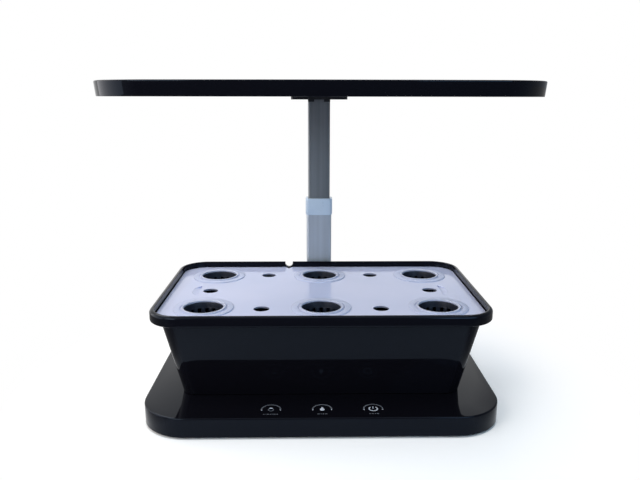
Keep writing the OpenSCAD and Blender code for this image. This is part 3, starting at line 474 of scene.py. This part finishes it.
def circle(centre, r, z=0.0, steps=48):
    """Points all round a circle at a height."""
    return arc_points(centre, r, 0, 360, z, steps)[:-1]


def corner_ring(w, d, r, centre, z, steps=12):
    """A rectangle with round corners at a height."""
    x, y = w / 2 - r, d / 2 - r
    ring = []
    for quarter, (sx, sy) in enumerate(((1, 1), (-1, 1), (-1, -1), (1, -1))):
        at = (centre[0] + sx * x, centre[1] + sy * y)
        ring += arc_points(at, r, 90 * quarter, 90 * quarter + 90, z, steps)
    return ring


def lamp_ring(inset, z):
    """The lamp's outline, drawn in by a distance, at a height."""
    low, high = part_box("lamp_housing")
    side = (high.x - low.x) / 2 - LAMP_CORNER
    bend = math.degrees(math.asin(side / (LAMP_BOW - LAMP_CORNER)))
    bow_y = low.y + LAMP_BOW
    front_y = bow_y - (LAMP_BOW - LAMP_CORNER) * math.cos(math.radians(bend))
    rear_y = high.y - LAMP_CORNER
    r = LAMP_CORNER - inset
    return (arc_points((side, rear_y), r, 0, 90, z)
            + arc_points((-side, rear_y), r, 90, 180, z)
            + arc_points((-side, front_y), r, 180, 270 - bend, z)
            + arc_points((0, bow_y), LAMP_BOW - inset, 270 - bend, 270 + bend, z, 24)
            + arc_points((side, front_y), r, 270 + bend, 360, z))


def edge_steps(r, steps=5):
    """(inset, drop) pairs of a rounded edge, from the wall up to the top face."""
    pairs = []
    for i in range(steps + 1):
        a = math.radians(90 * i / steps)
        pairs.append((r * (1 - math.cos(a)), r * (1 - math.sin(a))))
    return pairs


# ---- Mesh building ----

def add_loft(bm, rings, ends="capped"):
    """Quads between rings of equally many points; the ends are capped or joined to each other."""
    rows = [[bm.verts.new(p) for p in ring] for ring in rings]
    pairs = list(zip(rows, rows[1:]))
    if ends == "joined":
        pairs.append((rows[-1], rows[0]))
    for a, b in pairs:
        for i in range(len(a)):
            j = (i + 1) % len(a)
            bm.faces.new((a[i], a[j], b[j], b[i]))
    if ends == "capped":
        bm.faces.new(list(reversed(rows[0])))
        bm.faces.new(rows[-1])


def add_lathe(bm, profile, centre, steps=96):
    """A ring turned about an upright axis from a closed profile of (radius, height)."""
    add_loft(bm, [circle(centre, r, z, steps) for r, z in profile], "joined")


def add_prism(bm, outline, z0, z1):
    """An upright prism over an outline of (x, y) points."""
    add_loft(bm, [[Vector((p[0], p[1], z)) for p in outline] for z in (z0, z1)])


def cleaned(bm):
    """A bmesh without double points, with all its faces turned outwards."""
    bmesh.ops.remove_doubles(bm, verts=bm.verts, dist=1e-7)
    bmesh.ops.dissolve_degenerate(bm, edges=bm.edges, dist=1e-8)
    bmesh.ops.recalc_face_normals(bm, faces=bm.faces)
    return bm


def add_object(name, bm):
    """Turns a bmesh into an object of the scene."""
    mesh = bpy.data.meshes.new(name)
    cleaned(bm).to_mesh(mesh)
    bm.free()
    obj = bpy.data.objects.new(name, mesh)
    bpy.context.scene.collection.objects.link(obj)
    return obj


def add_piece(name, bm, slot, body, replaced=(), material=None):
    """Adds a piece with its material, the body it rides on and the nodes it stands for."""
    obj = add_object(name, bm)
    obj.data.materials.append(material or MATERIALS[slot])
    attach(obj, body)
    if replaced:
        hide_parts(*replaced)
    return obj


def cut(obj, cutter):
    """Subtracts a closed bmesh from a piece's mesh."""
    tool = add_object("cutter", cutter)
    mod = obj.modifiers.new("cut", "BOOLEAN")
    mod.operation = "DIFFERENCE"
    mod.solver = "EXACT"
    mod.object = tool
    bpy.context.view_layer.update()
    whole, used = obj.data, tool.data
    evaluated = obj.evaluated_get(bpy.context.evaluated_depsgraph_get())
    obj.data = bpy.data.meshes.new_from_object(evaluated)
    obj.data.name = obj.name
    obj.modifiers.remove(mod)
    bpy.data.objects.remove(tool)
    bpy.data.meshes.remove(whole)
    bpy.data.meshes.remove(used)


def smooth(obj, angle=30):
    """Smooth shading, with creases kept at edges sharper than the angle."""
    bm = bmesh.new()
    bm.from_mesh(obj.data)
    for edge in bm.edges:
        edge.smooth = len(edge.link_faces) == 2 and edge.calc_face_angle(0) < math.radians(angle)
    for face in bm.faces:
        face.smooth = True
    bm.to_mesh(obj.data)
    bm.free()


def round_edges(obj, width, segments=2, angle=30):
    """Rounds the edges that are sharper than the angle."""
    mod = obj.modifiers.new("rounded", "BEVEL")
    mod.width = width
    mod.segments = segments
    mod.limit_method = "ANGLE"
    mod.angle_limit = math.radians(angle)
    mod.harden_normals = True


def round_node(node, width):
    """Rounds the sharp edges of a CAD node, whose own mesh stays as it is."""
    obj = frame["nodes"][node]
    weld = obj.modifiers.new("welded", "WELD")
    weld.merge_threshold = 1e-6
    round_edges(obj, width)


# ---- Base ----

def build_base():
    low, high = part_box("base_cover")
    centre = centre_of("base_cover")
    w, d = high.x - low.x, high.y - low.y

    def ring(inset, z):
        return corner_ring(w - 2 * inset, d - 2 * inset, BASE_CORNER - inset, centre, z, 18)

    rings = [ring(BASE_WALL, high.z - BASE_WALL), ring(BASE_WALL, low.z)]
    rings += [ring(BASE_LOW_EDGE, low.z), ring(0, low.z + BASE_LOW_EDGE)]
    rings += [ring(inset, high.z - drop) for inset, drop in edge_steps(BASE_EDGE)]
    bm = bmesh.new()
    add_loft(bm, rings)
    base = add_piece("base_shell", bm, "gloss_black", "base", ["base_cover"])
    cut(base, mast_opening(low.z, high.z))
    for socket in ("power_socket", "pump_socket"):
        cut(base, socket_opening(socket, high.y))
    smooth(base)


def mast_opening(z0, z1):
    """The hole in the base's top that the mast stands in."""
    low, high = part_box("mast_tube")
    w = high.x - low.x + 2 * MAST_HOLE_GAP
    d = high.y - low.y + 2 * MAST_HOLE_GAP
    corner = MAST_CORNER + MAST_HOLE_GAP
    centre = centre_of("mast_tube")
    bm = bmesh.new()
    add_loft(bm, [corner_ring(w, d, corner, centre, z) for z in (z0, z1 + OVERCUT)])
    return bm


def socket_opening(socket, wall_y):
    """A rod along Y through the rear wall, where a socket's nose sits."""
    at = centre_of(socket)
    bm = bmesh.new()
    add_prism(bm, circle((0, 0), SOCKET_HOLE_R), -SOCKET_HOLE_L / 2, SOCKET_HOLE_L / 2)
    turn = Matrix.Rotation(math.radians(90), 4, "X")
    place = Matrix.Translation((at.x, wall_y, at.z)) @ turn
    bmesh.ops.transform(bm, matrix=place, verts=bm.verts)
    return bm


# ---- Marks of the touch fields ----

def stroke_outline(centre, r, stroke, start, end):
    """An arc-shaped stroke with round ends."""
    outline = arc_points(centre, r + stroke / 2, start, end)
    outline += end_cap(centre, r, stroke, end, 0)
    outline += arc_points(centre, r - stroke / 2, end, start)
    outline += end_cap(centre, r, stroke, start, 180)
    return outline


def end_cap(centre, r, stroke, at_angle, turn):
    """The round end of an arc-shaped stroke, without the points that it shares with the stroke."""
    a = math.radians(at_angle)
    tip = (centre[0] + r * math.cos(a), centre[1] + r * math.sin(a))
    start = at_angle + turn
    return arc_points(tip, stroke / 2, start, start + 180, steps=8)[1:-1]


def drop_outline(centre, r):
    """A water drop with its point to the rear."""
    point = Vector((centre[0], centre[1] + DROP_POINT * r, 0))
    return arc_points(centre, r, *DROP_ARC, steps=20) + [point]


def add_print(bm, outline, z, thickness=PRINT_T):
    """A thin printed shape on a surface."""
    add_prism(bm, outline, z, z + thickness)


def mark_nutrient(bm, at):
    """The cap of a round flask."""
    add_print(bm, arc_points((at.x, at.y + CAP_Y), CAP_R, 0, 180), at.z)


def mark_flask(bm, at):
    """The round flask below its cap."""
    add_print(bm, stroke_outline((at.x, at.y + FLASK_Y), FLASK_R, FLASK_STROKE, *OPEN_RING), at.z)


def mark_water(bm, at):
    """A water drop."""
    add_print(bm, drop_outline((at.x, at.y + DROP_Y), DROP_R), at.z)


def mark_power(bm, at):
    """The usual sign for power: an open ring and a bar."""
    add_print(bm, stroke_outline(at, POWER_R, POWER_STROKE, *OPEN_RING), at.z)
    corners = ((-1, BAR_FROM), (1, BAR_FROM), (1, BAR_TO), (-1, BAR_TO))
    add_print(bm, [(at.x + side * BAR_HALF_W, at.y + y) for side, y in corners], at.z)


def add_dashes(bm, at, widths):
    """A row of short dashes in front of a touch field."""
    x = at.x - (sum(widths) * MM + DASH_GAP * (len(widths) - 1)) / 2
    for width in widths:
        middle = (x + width * MM / 2, at.y + DASH_Y)
        add_print(bm, corner_ring(width * MM, DASH_H, DASH_CORNER, middle, at.z, 3), at.z)
        x += width * MM + DASH_GAP


# Touch fields from left to right: side of the middle, sign and widths of its dashes in mm
TOUCH_FIELDS = (
    (-1, mark_nutrient, (1.3, 0.5, 2.2, 1.0, 0.8, 2.0, 1.2)),
    (0, mark_water, (2.0, 1.2, 1.5, 2.0)),
    (1, mark_power, (1.4, 1.9, 1.2, 1.9)),
)


def build_touch_marks():
    low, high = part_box("touch_rings")
    base_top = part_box("base_cover")[1].z
    middle = (low + high) / 2
    pitch = (high.x - low.x - (high.y - low.y)) / 2
    grey, pale = bmesh.new(), bmesh.new()
    for side, sign, dashes in TOUCH_FIELDS:
        at = Vector((middle.x + side * pitch, middle.y, base_top))
        add_print(grey, stroke_outline(at, ARC_R, ARC_STROKE, ARC_FROM, ARC_TO), at.z)
        add_dashes(grey, at, dashes)
        sign(pale, at)
        for end in (ARC_FROM, ARC_TO):
            a = math.radians(end)
            tip = (at.x + ARC_R * math.cos(a), at.y + ARC_R * math.sin(a))
            add_print(pale, circle(tip, ARC_TIP_R, steps=16), at.z, ARC_TIP_T)
    mark_flask(grey, Vector((middle.x - pitch, middle.y, base_top)))
    add_piece("touch_marks_grey", grey, "collar_grey", "base", material=PRINT_GREY)
    add_piece("touch_marks_pale", pale, "collar_grey", "base", material=PRINT_PALE)


# ---- Mast and lamp ----

def build_mast_collar():
    low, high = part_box("mast_collar")
    centre = centre_of("mast_collar")
    mast_low, mast_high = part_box("mast_tube")
    tube_low, tube_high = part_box("mast_inner_tube")
    w, d = high.x - low.x, high.y - low.y

    def outer(inset, z):
        return corner_ring(w - 2 * inset, d - 2 * inset, COLLAR_CORNER - inset, centre, z)

    def inner(box_low, box_high, gap, corner, z):
        return corner_ring(box_high.x - box_low.x + 2 * gap, box_high.y - box_low.y + 2 * gap,
                           corner + gap, centre, z)

    bore = (mast_low, mast_high, BORE_GAP, MAST_CORNER)
    hole = (tube_low, tube_high, TUBE_GAP, TUBE_CORNER)
    rings = [outer(COLLAR_TAPER, low.z), outer(0, low.z + COLLAR_TAPER_H)]
    rings += [outer(inset, high.z - drop) for inset, drop in edge_steps(COLLAR_EDGE)]
    rings += [inner(*hole, high.z), inner(*hole, high.z - COLLAR_LIP)]
    rings += [inner(*bore, high.z - COLLAR_LIP), inner(*bore, low.z)]
    bm = bmesh.new()
    add_loft(bm, rings, "joined")
    smooth(add_piece("collar_sleeve", bm, "collar_grey", "base", ["mast_collar"]))


def build_lamp_shell():
    low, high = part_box("lamp_housing")
    rings = [lamp_ring(LAMP_WALL, high.z - LAMP_WALL), lamp_ring(LAMP_WALL, low.z)]
    rings += [lamp_ring(LAMP_DRAFT + inset, low.z + drop)
              for inset, drop in reversed(edge_steps(LAMP_LOW_EDGE, 3))]
    rings += [lamp_ring(inset, high.z - drop) for inset, drop in edge_steps(LAMP_TOP_EDGE)]
    bm = bmesh.new()
    add_loft(bm, rings)
    smooth(add_piece("lamp_shell", bm, "gloss_black", "lamp_arm", ["lamp_housing"]))


# ---- Tank ----

def rim_size():
    """The rim's width, depth and centre."""
    low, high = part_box("tank")
    return high.x - low.x, high.y - low.y, (low + high) / 2


def rim_ring(inset, corner, z):
    """The rim's outline, drawn in by a distance, at a height."""
    w, d, centre = rim_size()
    return corner_ring(w - 2 * inset, d - 2 * inset, corner, centre, z, 16)


def setback(z):
    """How far the tank's outer face lies inside the rim at a height."""
    low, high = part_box("tank")
    share = (z - low.z) / (high.z - RIM_HEIGHT - low.z)
    return BOTTOM_SETBACK + (RIM_OVERHANG - BOTTOM_SETBACK) * share


def body_ring(inset, z):
    """The tapered body's outline, drawn in by a distance, at a height."""
    return rim_ring(setback(z) + inset, TANK_CORNER - inset, z)


def build_tank():
    low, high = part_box("tank")
    floor = low.z + TANK_FLOOR
    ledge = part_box("deck")[1].z - DECK_T
    band = high.z - RIM_HEIGHT
    rings = [body_ring(TANK_WALL + inset, floor + drop)
             for inset, drop in reversed(edge_steps(TANK_FILLET))]
    rings += [body_ring(TANK_WALL, ledge), rim_ring(RIM_WALL, RIM_CORNER - RIM_WALL, ledge)]
    rings += [rim_ring(RIM_WALL - inset, RIM_CORNER - RIM_WALL + inset, high.z - drop)
              for inset, drop in edge_steps(RIM_EDGE)]
    rings += [rim_ring(inset, RIM_CORNER - inset, high.z - drop)
              for inset, drop in reversed(edge_steps(RIM_TOP_EDGE, 8))]
    rings += [rim_ring(inset, RIM_CORNER - inset, band + drop)
              for inset, drop in edge_steps(RIM_LOW_EDGE, 8)]
    rings += [body_ring(0, band), body_ring(0, low.z + TANK_LOW_EDGE)]
    rings += [body_ring(TANK_LOW_EDGE, low.z)]
    bm = bmesh.new()
    add_loft(bm, rings)
    tank = add_piece("tank_shell", bm, "gloss_black", "tank_body", ["tank"])
    cut(tank, notch_cutter(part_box("deck")[1].z, high))
    smooth(tank)
    build_float_seat(floor)


def notch_cutter(bottom, high):
    """The round-bottomed notch for a cable over the rear rim."""
    outline = arc_points((NOTCH_X, bottom + NOTCH_R), NOTCH_R, 180, 360)
    top = high.z + OVERCUT
    outline += [(NOTCH_X + NOTCH_R, top), (NOTCH_X - NOTCH_R, top)]
    bm = bmesh.new()
    add_loft(bm, [[Vector((p[0], y, p[1])) for p in outline]
                  for y in (high.y + OVERCUT, high.y - RIM_WALL - OVERCUT)])
    return bm


def build_float_seat(floor):
    """The ring on the tank's floor that holds the float's foot."""
    low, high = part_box("float_stem")
    inner = (high.x - low.x) / 2 + RING_GAP
    outer = inner + RING_WALL
    top = floor + RING_H
    profile = [(inner, floor), (outer, floor), (outer, top - RING_EDGE), (outer - RING_EDGE, top),
               (inner + RING_LEAD, top), (inner, top - RING_LEAD)]
    bm = bmesh.new()
    add_lathe(bm, profile, centre_of("float_stem"), 48)
    smooth(add_piece("float_seat", bm, "gloss_black", "tank_body"))


# ---- Deck ----

def deck_ring(inset, corner, z):
    """The deck's outline inside the rim, drawn in by a distance, at a height."""
    return rim_ring(RIM_WALL + DECK_SEAM + inset, corner, z)


def build_deck():
    low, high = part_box("deck")
    under = high.z - DECK_T
    corner = RIM_CORNER - RIM_WALL - DECK_SEAM
    rib_corner = TANK_CORNER - TANK_WALL
    rib_inset = setback(low.z) + TANK_WALL + 2 * DECK_GAP
    rings = [deck_ring(inset, corner - inset, high.z - drop)
             for inset, drop in reversed(edge_steps(DECK_EDGE, 8))]
    rings += [deck_ring(0, corner, under)]
    rings += [rim_ring(rib_inset, rib_corner, z) for z in (under, low.z)]
    rings += [rim_ring(rib_inset + RIB_T, rib_corner - RIB_T, z) for z in (low.z, under)]
    bm = bmesh.new()
    add_loft(bm, rings)
    deck = add_piece("deck_plate", bm, "deck_white", "deck_body", ["deck"])
    cut(deck, deck_cutters(low.z, high.z))
    smooth(deck, DECK_CREASE)
    round_edges(deck, DECK_BEVEL)


def deck_cutters(z0, z1):
    """All that is cut from the deck."""
    bm = bmesh.new()
    pods = [centre_of(f"pod_collar_{i}") for i in PODS]
    w, d, middle = rim_size()
    for at in pods:
        outline = circle(at, POD_HOLE_R, steps=72)
        add_prism(bm, outline, z0 + POD_HOLE_LIFT, z1 + OVERCUT)
    add_vent_cutters(bm, pods, middle.y, z1)
    for side in (-1, 1):
        add_grip_cutter(bm, side, side * (w / 2 - GRIP_END), middle.y, z1)
    add_v_notch_cutter(bm, middle.y + d / 2 - RIM_WALL - DECK_SEAM, z1)
    return bm


def add_vent_cutters(bm, pods, middle_y, top):
    """The six small holes, wider below than at the deck's top."""
    x = max(p.x for p in pods) + VENT_END
    y = max(p.y for p in pods) - middle_y + VENT_OFFSET
    places = [(sx * x / 2, middle_y + sy * y) for sx in (-1, 1) for sy in (-1, 1)]
    places += [(sx * x, middle_y) for sx in (-1, 1)]
    profile = ((VENT_R + VENT_FLARE, top - DECK_T - OVERCUT), (VENT_R, top - VENT_LIP),
               (VENT_R, top + OVERCUT))
    for at in places:
        add_loft(bm, [circle(at, r, z) for r, z in profile])


def add_grip_cutter(bm, side, x, y, top):
    """A finger recess: a segment of a disc with a floor that rises towards the deck's end."""
    r = (GRIP_W ** 2 + GRIP_L ** 2 / 4) / (2 * GRIP_W)
    half = math.degrees(math.asin(GRIP_L / 2 / r))
    facing = 0 if side > 0 else 180
    outer = x + side * GRIP_W / 2
    edge = arc_points((outer - side * r, y), r, facing - half, facing + half, top, steps=24)
    floor = []
    for p in edge:
        at_x = x + (p.x - x) * (1 - 2 * GRIP_DRAFT / GRIP_W)
        at_y = y + (p.y - y) * (1 - 2 * GRIP_DRAFT / GRIP_L)
        drop = GRIP_SKIN + GRIP_DEPTH * abs(at_x - outer) / GRIP_W
        floor.append(Vector((at_x, at_y, top - drop)))
    add_loft(bm, [floor, edge, [p + Vector((0, 0, OVERCUT)) for p in edge]])


def add_v_notch_cutter(bm, edge, top):
    """The pointed notch in the deck's rear edge, in front of the one in the rim."""
    outline = [(NOTCH_X - V_NOTCH, edge + OVERCUT), (NOTCH_X, edge - V_NOTCH_DEPTH),
               (NOTCH_X + V_NOTCH, edge + OVERCUT)]
    add_prism(bm, outline, top - DECK_T - OVERCUT, top + OVERCUT)


def build_pod_collar(number):
    low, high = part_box(f"pod_collar_{number}")
    flange_r = (high.x - low.x) / 2
    deck_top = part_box("deck")[1].z
    flange = deck_top + FLANGE_T
    groove = flange - BEAD_GROOVE / 2
    seat = high.z - LIP_H
    bead_r = NECK_R - BEAD_DRAFT
    profile = [
        (flange_r, deck_top),
        (flange_r, flange - FLANGE_EDGE),
        (flange_r - EDGE_STEP, flange - EDGE_STEP),
        (flange_r - FLANGE_EDGE, flange),
        (NECK_R + BEAD_GROOVE, flange),
        (NECK_R + BEAD_GROOVE - GROOVE_SLOPE, groove),
        (NECK_R, groove),
        (bead_r, high.z - EDGE_STEP),
        (bead_r - EDGE_STEP, high.z),
        (MOUTH_R + MOUTH_EDGE, high.z),
        (MOUTH_R + EDGE_STEP, high.z - EDGE_STEP),
        (MOUTH_R, high.z - MOUTH_EDGE),
        (MOUTH_R, high.z - LIP_SHOWN),
        (BASKET_SEAT_R - SEAT_SLOPE, seat),
        (BASKET_SEAT_R, seat),
        (BASKET_SEAT_R, low.z),
        (NECK_R, low.z),
        (NECK_R, deck_top),
    ]
    bm = bmesh.new()
    add_lathe(bm, profile, centre_of(f"pod_collar_{number}"))
    body = f"basket_{number}"
    collar = add_piece(f"collar_{number}", bm, "frosted", body, [f"pod_collar_{number}"])
    smooth(collar, COLLAR_CREASE)


# ---- Nodes that keep their CAD shape ----

def dress_nodes():
    """Gives every CAD node the material of its slot, and the upper tube a darker copy of the
    aluminium as painted shade.
    """
    for part in frame["record"]["subparts"]:
        obj = frame["nodes"][part["node"]]
        obj.data.materials.clear()
        obj.data.materials.append(MATERIALS[part["material_slot"]])
    # Painted shade: the upper tube takes the darker copy of the mast's aluminium.
    frame["nodes"]["mast_inner_tube"].data.materials[0] = SHADED_UPPER_TUBE


# ---- Floor ----

def build_floor():
    """A pale floor that keeps the object's shadow and turns plain white further out."""
    bm = bmesh.new()
    corners = ((-FLOOR_SIZE, FLOOR_FRONT), (FLOOR_SIZE, FLOOR_FRONT),
               (FLOOR_SIZE, FLOOR_SIZE), (-FLOOR_SIZE, FLOOR_SIZE))
    add_prism(bm, corners, -FLOOR_T, 0)
    floor = add_object("floor", bm)
    floor.data.materials.append(floor_material())


def floor_material():
    """Lit by the lamps near the object, plain white further out, and matt for all other rays."""
    mat, tree, shader = new_material("floor_pale", (0.82, 0.82, 0.82), 0.9)
    shader.inputs["Specular IOR Level"].default_value = 0.0
    place = tree.nodes.new("ShaderNodeTexCoord").outputs["Object"]
    distance = vector_step(tree, "LENGTH", place)["Value"]
    white_share = remap(tree, distance, *WHITE_RADII)
    floor = mixed(tree, white_share, near_floor(tree, place, shader), far_floor(tree, place))
    seen = side_cards(tree, place, floor)
    chosen = mixed(tree, is_seen(tree), shader.outputs["BSDF"], seen)
    tree.links.new(chosen, tree.nodes["Material Output"].inputs["Surface"])
    return mat


def near_floor(tree, place, shader):
    """The matt floor, with a faint glow of its own outside the base's outline."""
    glow = tree.nodes.new("ShaderNodeEmission")
    strength = remap(tree, past_base(tree, place), BASE_CORNER - GLOW_BLEND,
                     BASE_CORNER + GLOW_BLEND, 0, NEAR_GLOW)
    tree.links.new(strength, glow.inputs["Strength"])
    both = tree.nodes.new("ShaderNodeAddShader")
    tree.links.new(shader.outputs["BSDF"], both.inputs[0])
    tree.links.new(glow.outputs["Emission"], both.inputs[1])
    return both.outputs["Shader"]


def past_base(tree, place):
    """The distance past the centres of the base's round corners: BASE_CORNER at its outline."""
    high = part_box("base_cover")[1]
    corner = (high.x - BASE_CORNER, high.y - BASE_CORNER, 1)
    point = vector_step(tree, "ABSOLUTE", place)["Vector"]
    point = vector_step(tree, "SUBTRACT", point, corner)["Vector"]
    point = vector_step(tree, "MAXIMUM", point, (0, 0, 0))["Vector"]
    return vector_step(tree, "LENGTH", point)["Value"]


def far_floor(tree, place):
    """Plain white for the camera, and dimmer at its right in reflections."""
    white = tree.nodes.new("ShaderNodeEmission")
    dim = remap(tree, axis_of(tree, place, "X"), *DIM_FLOOR_X, 1, DIM_FLOOR_GLOW)
    strength = combined(tree, "MAXIMUM", dim, ray(tree, "Is Camera Ray"))
    tree.links.new(strength, white.inputs["Strength"])
    return white.outputs["Emission"]


def side_cards(tree, place, floor):
    """The floor with a dim band at both sides of the object, which only reflections show."""
    beside = axis_of(tree, vector_step(tree, "ABSOLUTE", place)["Vector"], "X")
    inner = remap(tree, beside, *CARD_FROM, 0, CARD_SHARE)
    outer = remap(tree, beside, *CARD_TO, 1, 0)
    band = combined(tree, "MINIMUM", inner, outer)
    share = combined(tree, "MULTIPLY", band, ray(tree, "Is Glossy Ray"))
    card = tree.nodes.new("ShaderNodeEmission")
    card.inputs["Strength"].default_value = CARD_GLOW
    return mixed(tree, share, floor, card.outputs["Emission"])


# ---- World, lights and camera ----

def backdrop(tree, colour):
    """A plain background of one colour."""
    shade = tree.nodes.new("ShaderNodeBackground")
    shade.inputs["Color"].default_value = (*colour, 1)
    return shade.outputs["Background"]


def build_world():
    """White behind the object, a dim room in front of it and to its right, and soft light."""
    world = bpy.data.worlds.new("studio")
    bpy.context.scene.world = world
    world.use_nodes = True
    tree = world.node_tree
    soft = tree.nodes["Background"]
    soft.inputs["Color"].default_value = (*SOFT_COLOUR, 1)
    soft.inputs["Strength"].default_value = SOFT_LIGHT
    room, white = backdrop(tree, ROOM_COLOUR), backdrop(tree, WHITE)
    direction = tree.nodes.new("ShaderNodeTexCoord").outputs["Generated"]
    behind = remap(tree, axis_of(tree, direction, "Y"), *WHITE_BEHIND_Y)
    beside = remap(tree, axis_of(tree, direction, "X"), *DIM_RIGHT_X, 1, DIM_RIGHT_SHARE)
    reflected = mixed(tree, combined(tree, "MULTIPLY", behind, beside), room, white)
    straight = mixed(tree, ray(tree, "Is Camera Ray"), reflected, white)
    chosen = mixed(tree, is_seen(tree), soft.outputs["Background"], straight)
    tree.links.new(chosen, tree.nodes["World Output"].inputs["Surface"])


def add_light(name, at, aim, size, power, colour):
    """A rectangular soft light of a (width, height)."""
    lamp = bpy.data.lights.new(name, "AREA")
    lamp.shape = "RECTANGLE"
    lamp.size, lamp.size_y = size
    lamp.energy = power
    lamp.color = colour
    obj = bpy.data.objects.new(name, lamp)
    bpy.context.scene.collection.objects.link(obj)
    obj.location = at
    obj.rotation_euler = (Vector(aim) - Vector(at)).to_track_quat("-Z", "Y").to_euler()


def build_camera():
    data = bpy.data.cameras.new("camera")
    data.sensor_width = SENSOR
    data.lens = SENSOR * FOCAL_PX / IMAGE_W
    camera = bpy.data.objects.new("camera", data)
    bpy.context.scene.collection.objects.link(camera)
    camera.location = CAMERA_AT
    camera.rotation_euler = (math.pi / 2 - CAMERA_DOWN, CAMERA_ROLL, -CAMERA_TURN)
    bpy.context.scene.camera = camera


dress_nodes()
build_base()
build_touch_marks()
build_mast_collar()
build_lamp_shell()
build_tank()
build_deck()
for pod in PODS:
    build_pod_collar(pod)
    round_node(f"net_basket_{pod}", BASKET_EDGE)
round_node("lamp_bracket", BRACKET_EDGE)
build_floor()
build_world()
for light in LIGHTS:
    add_light(*light)
build_camera()
bpy.context.scene.view_settings.view_transform = "Standard"
bpy.context.view_layer.update()
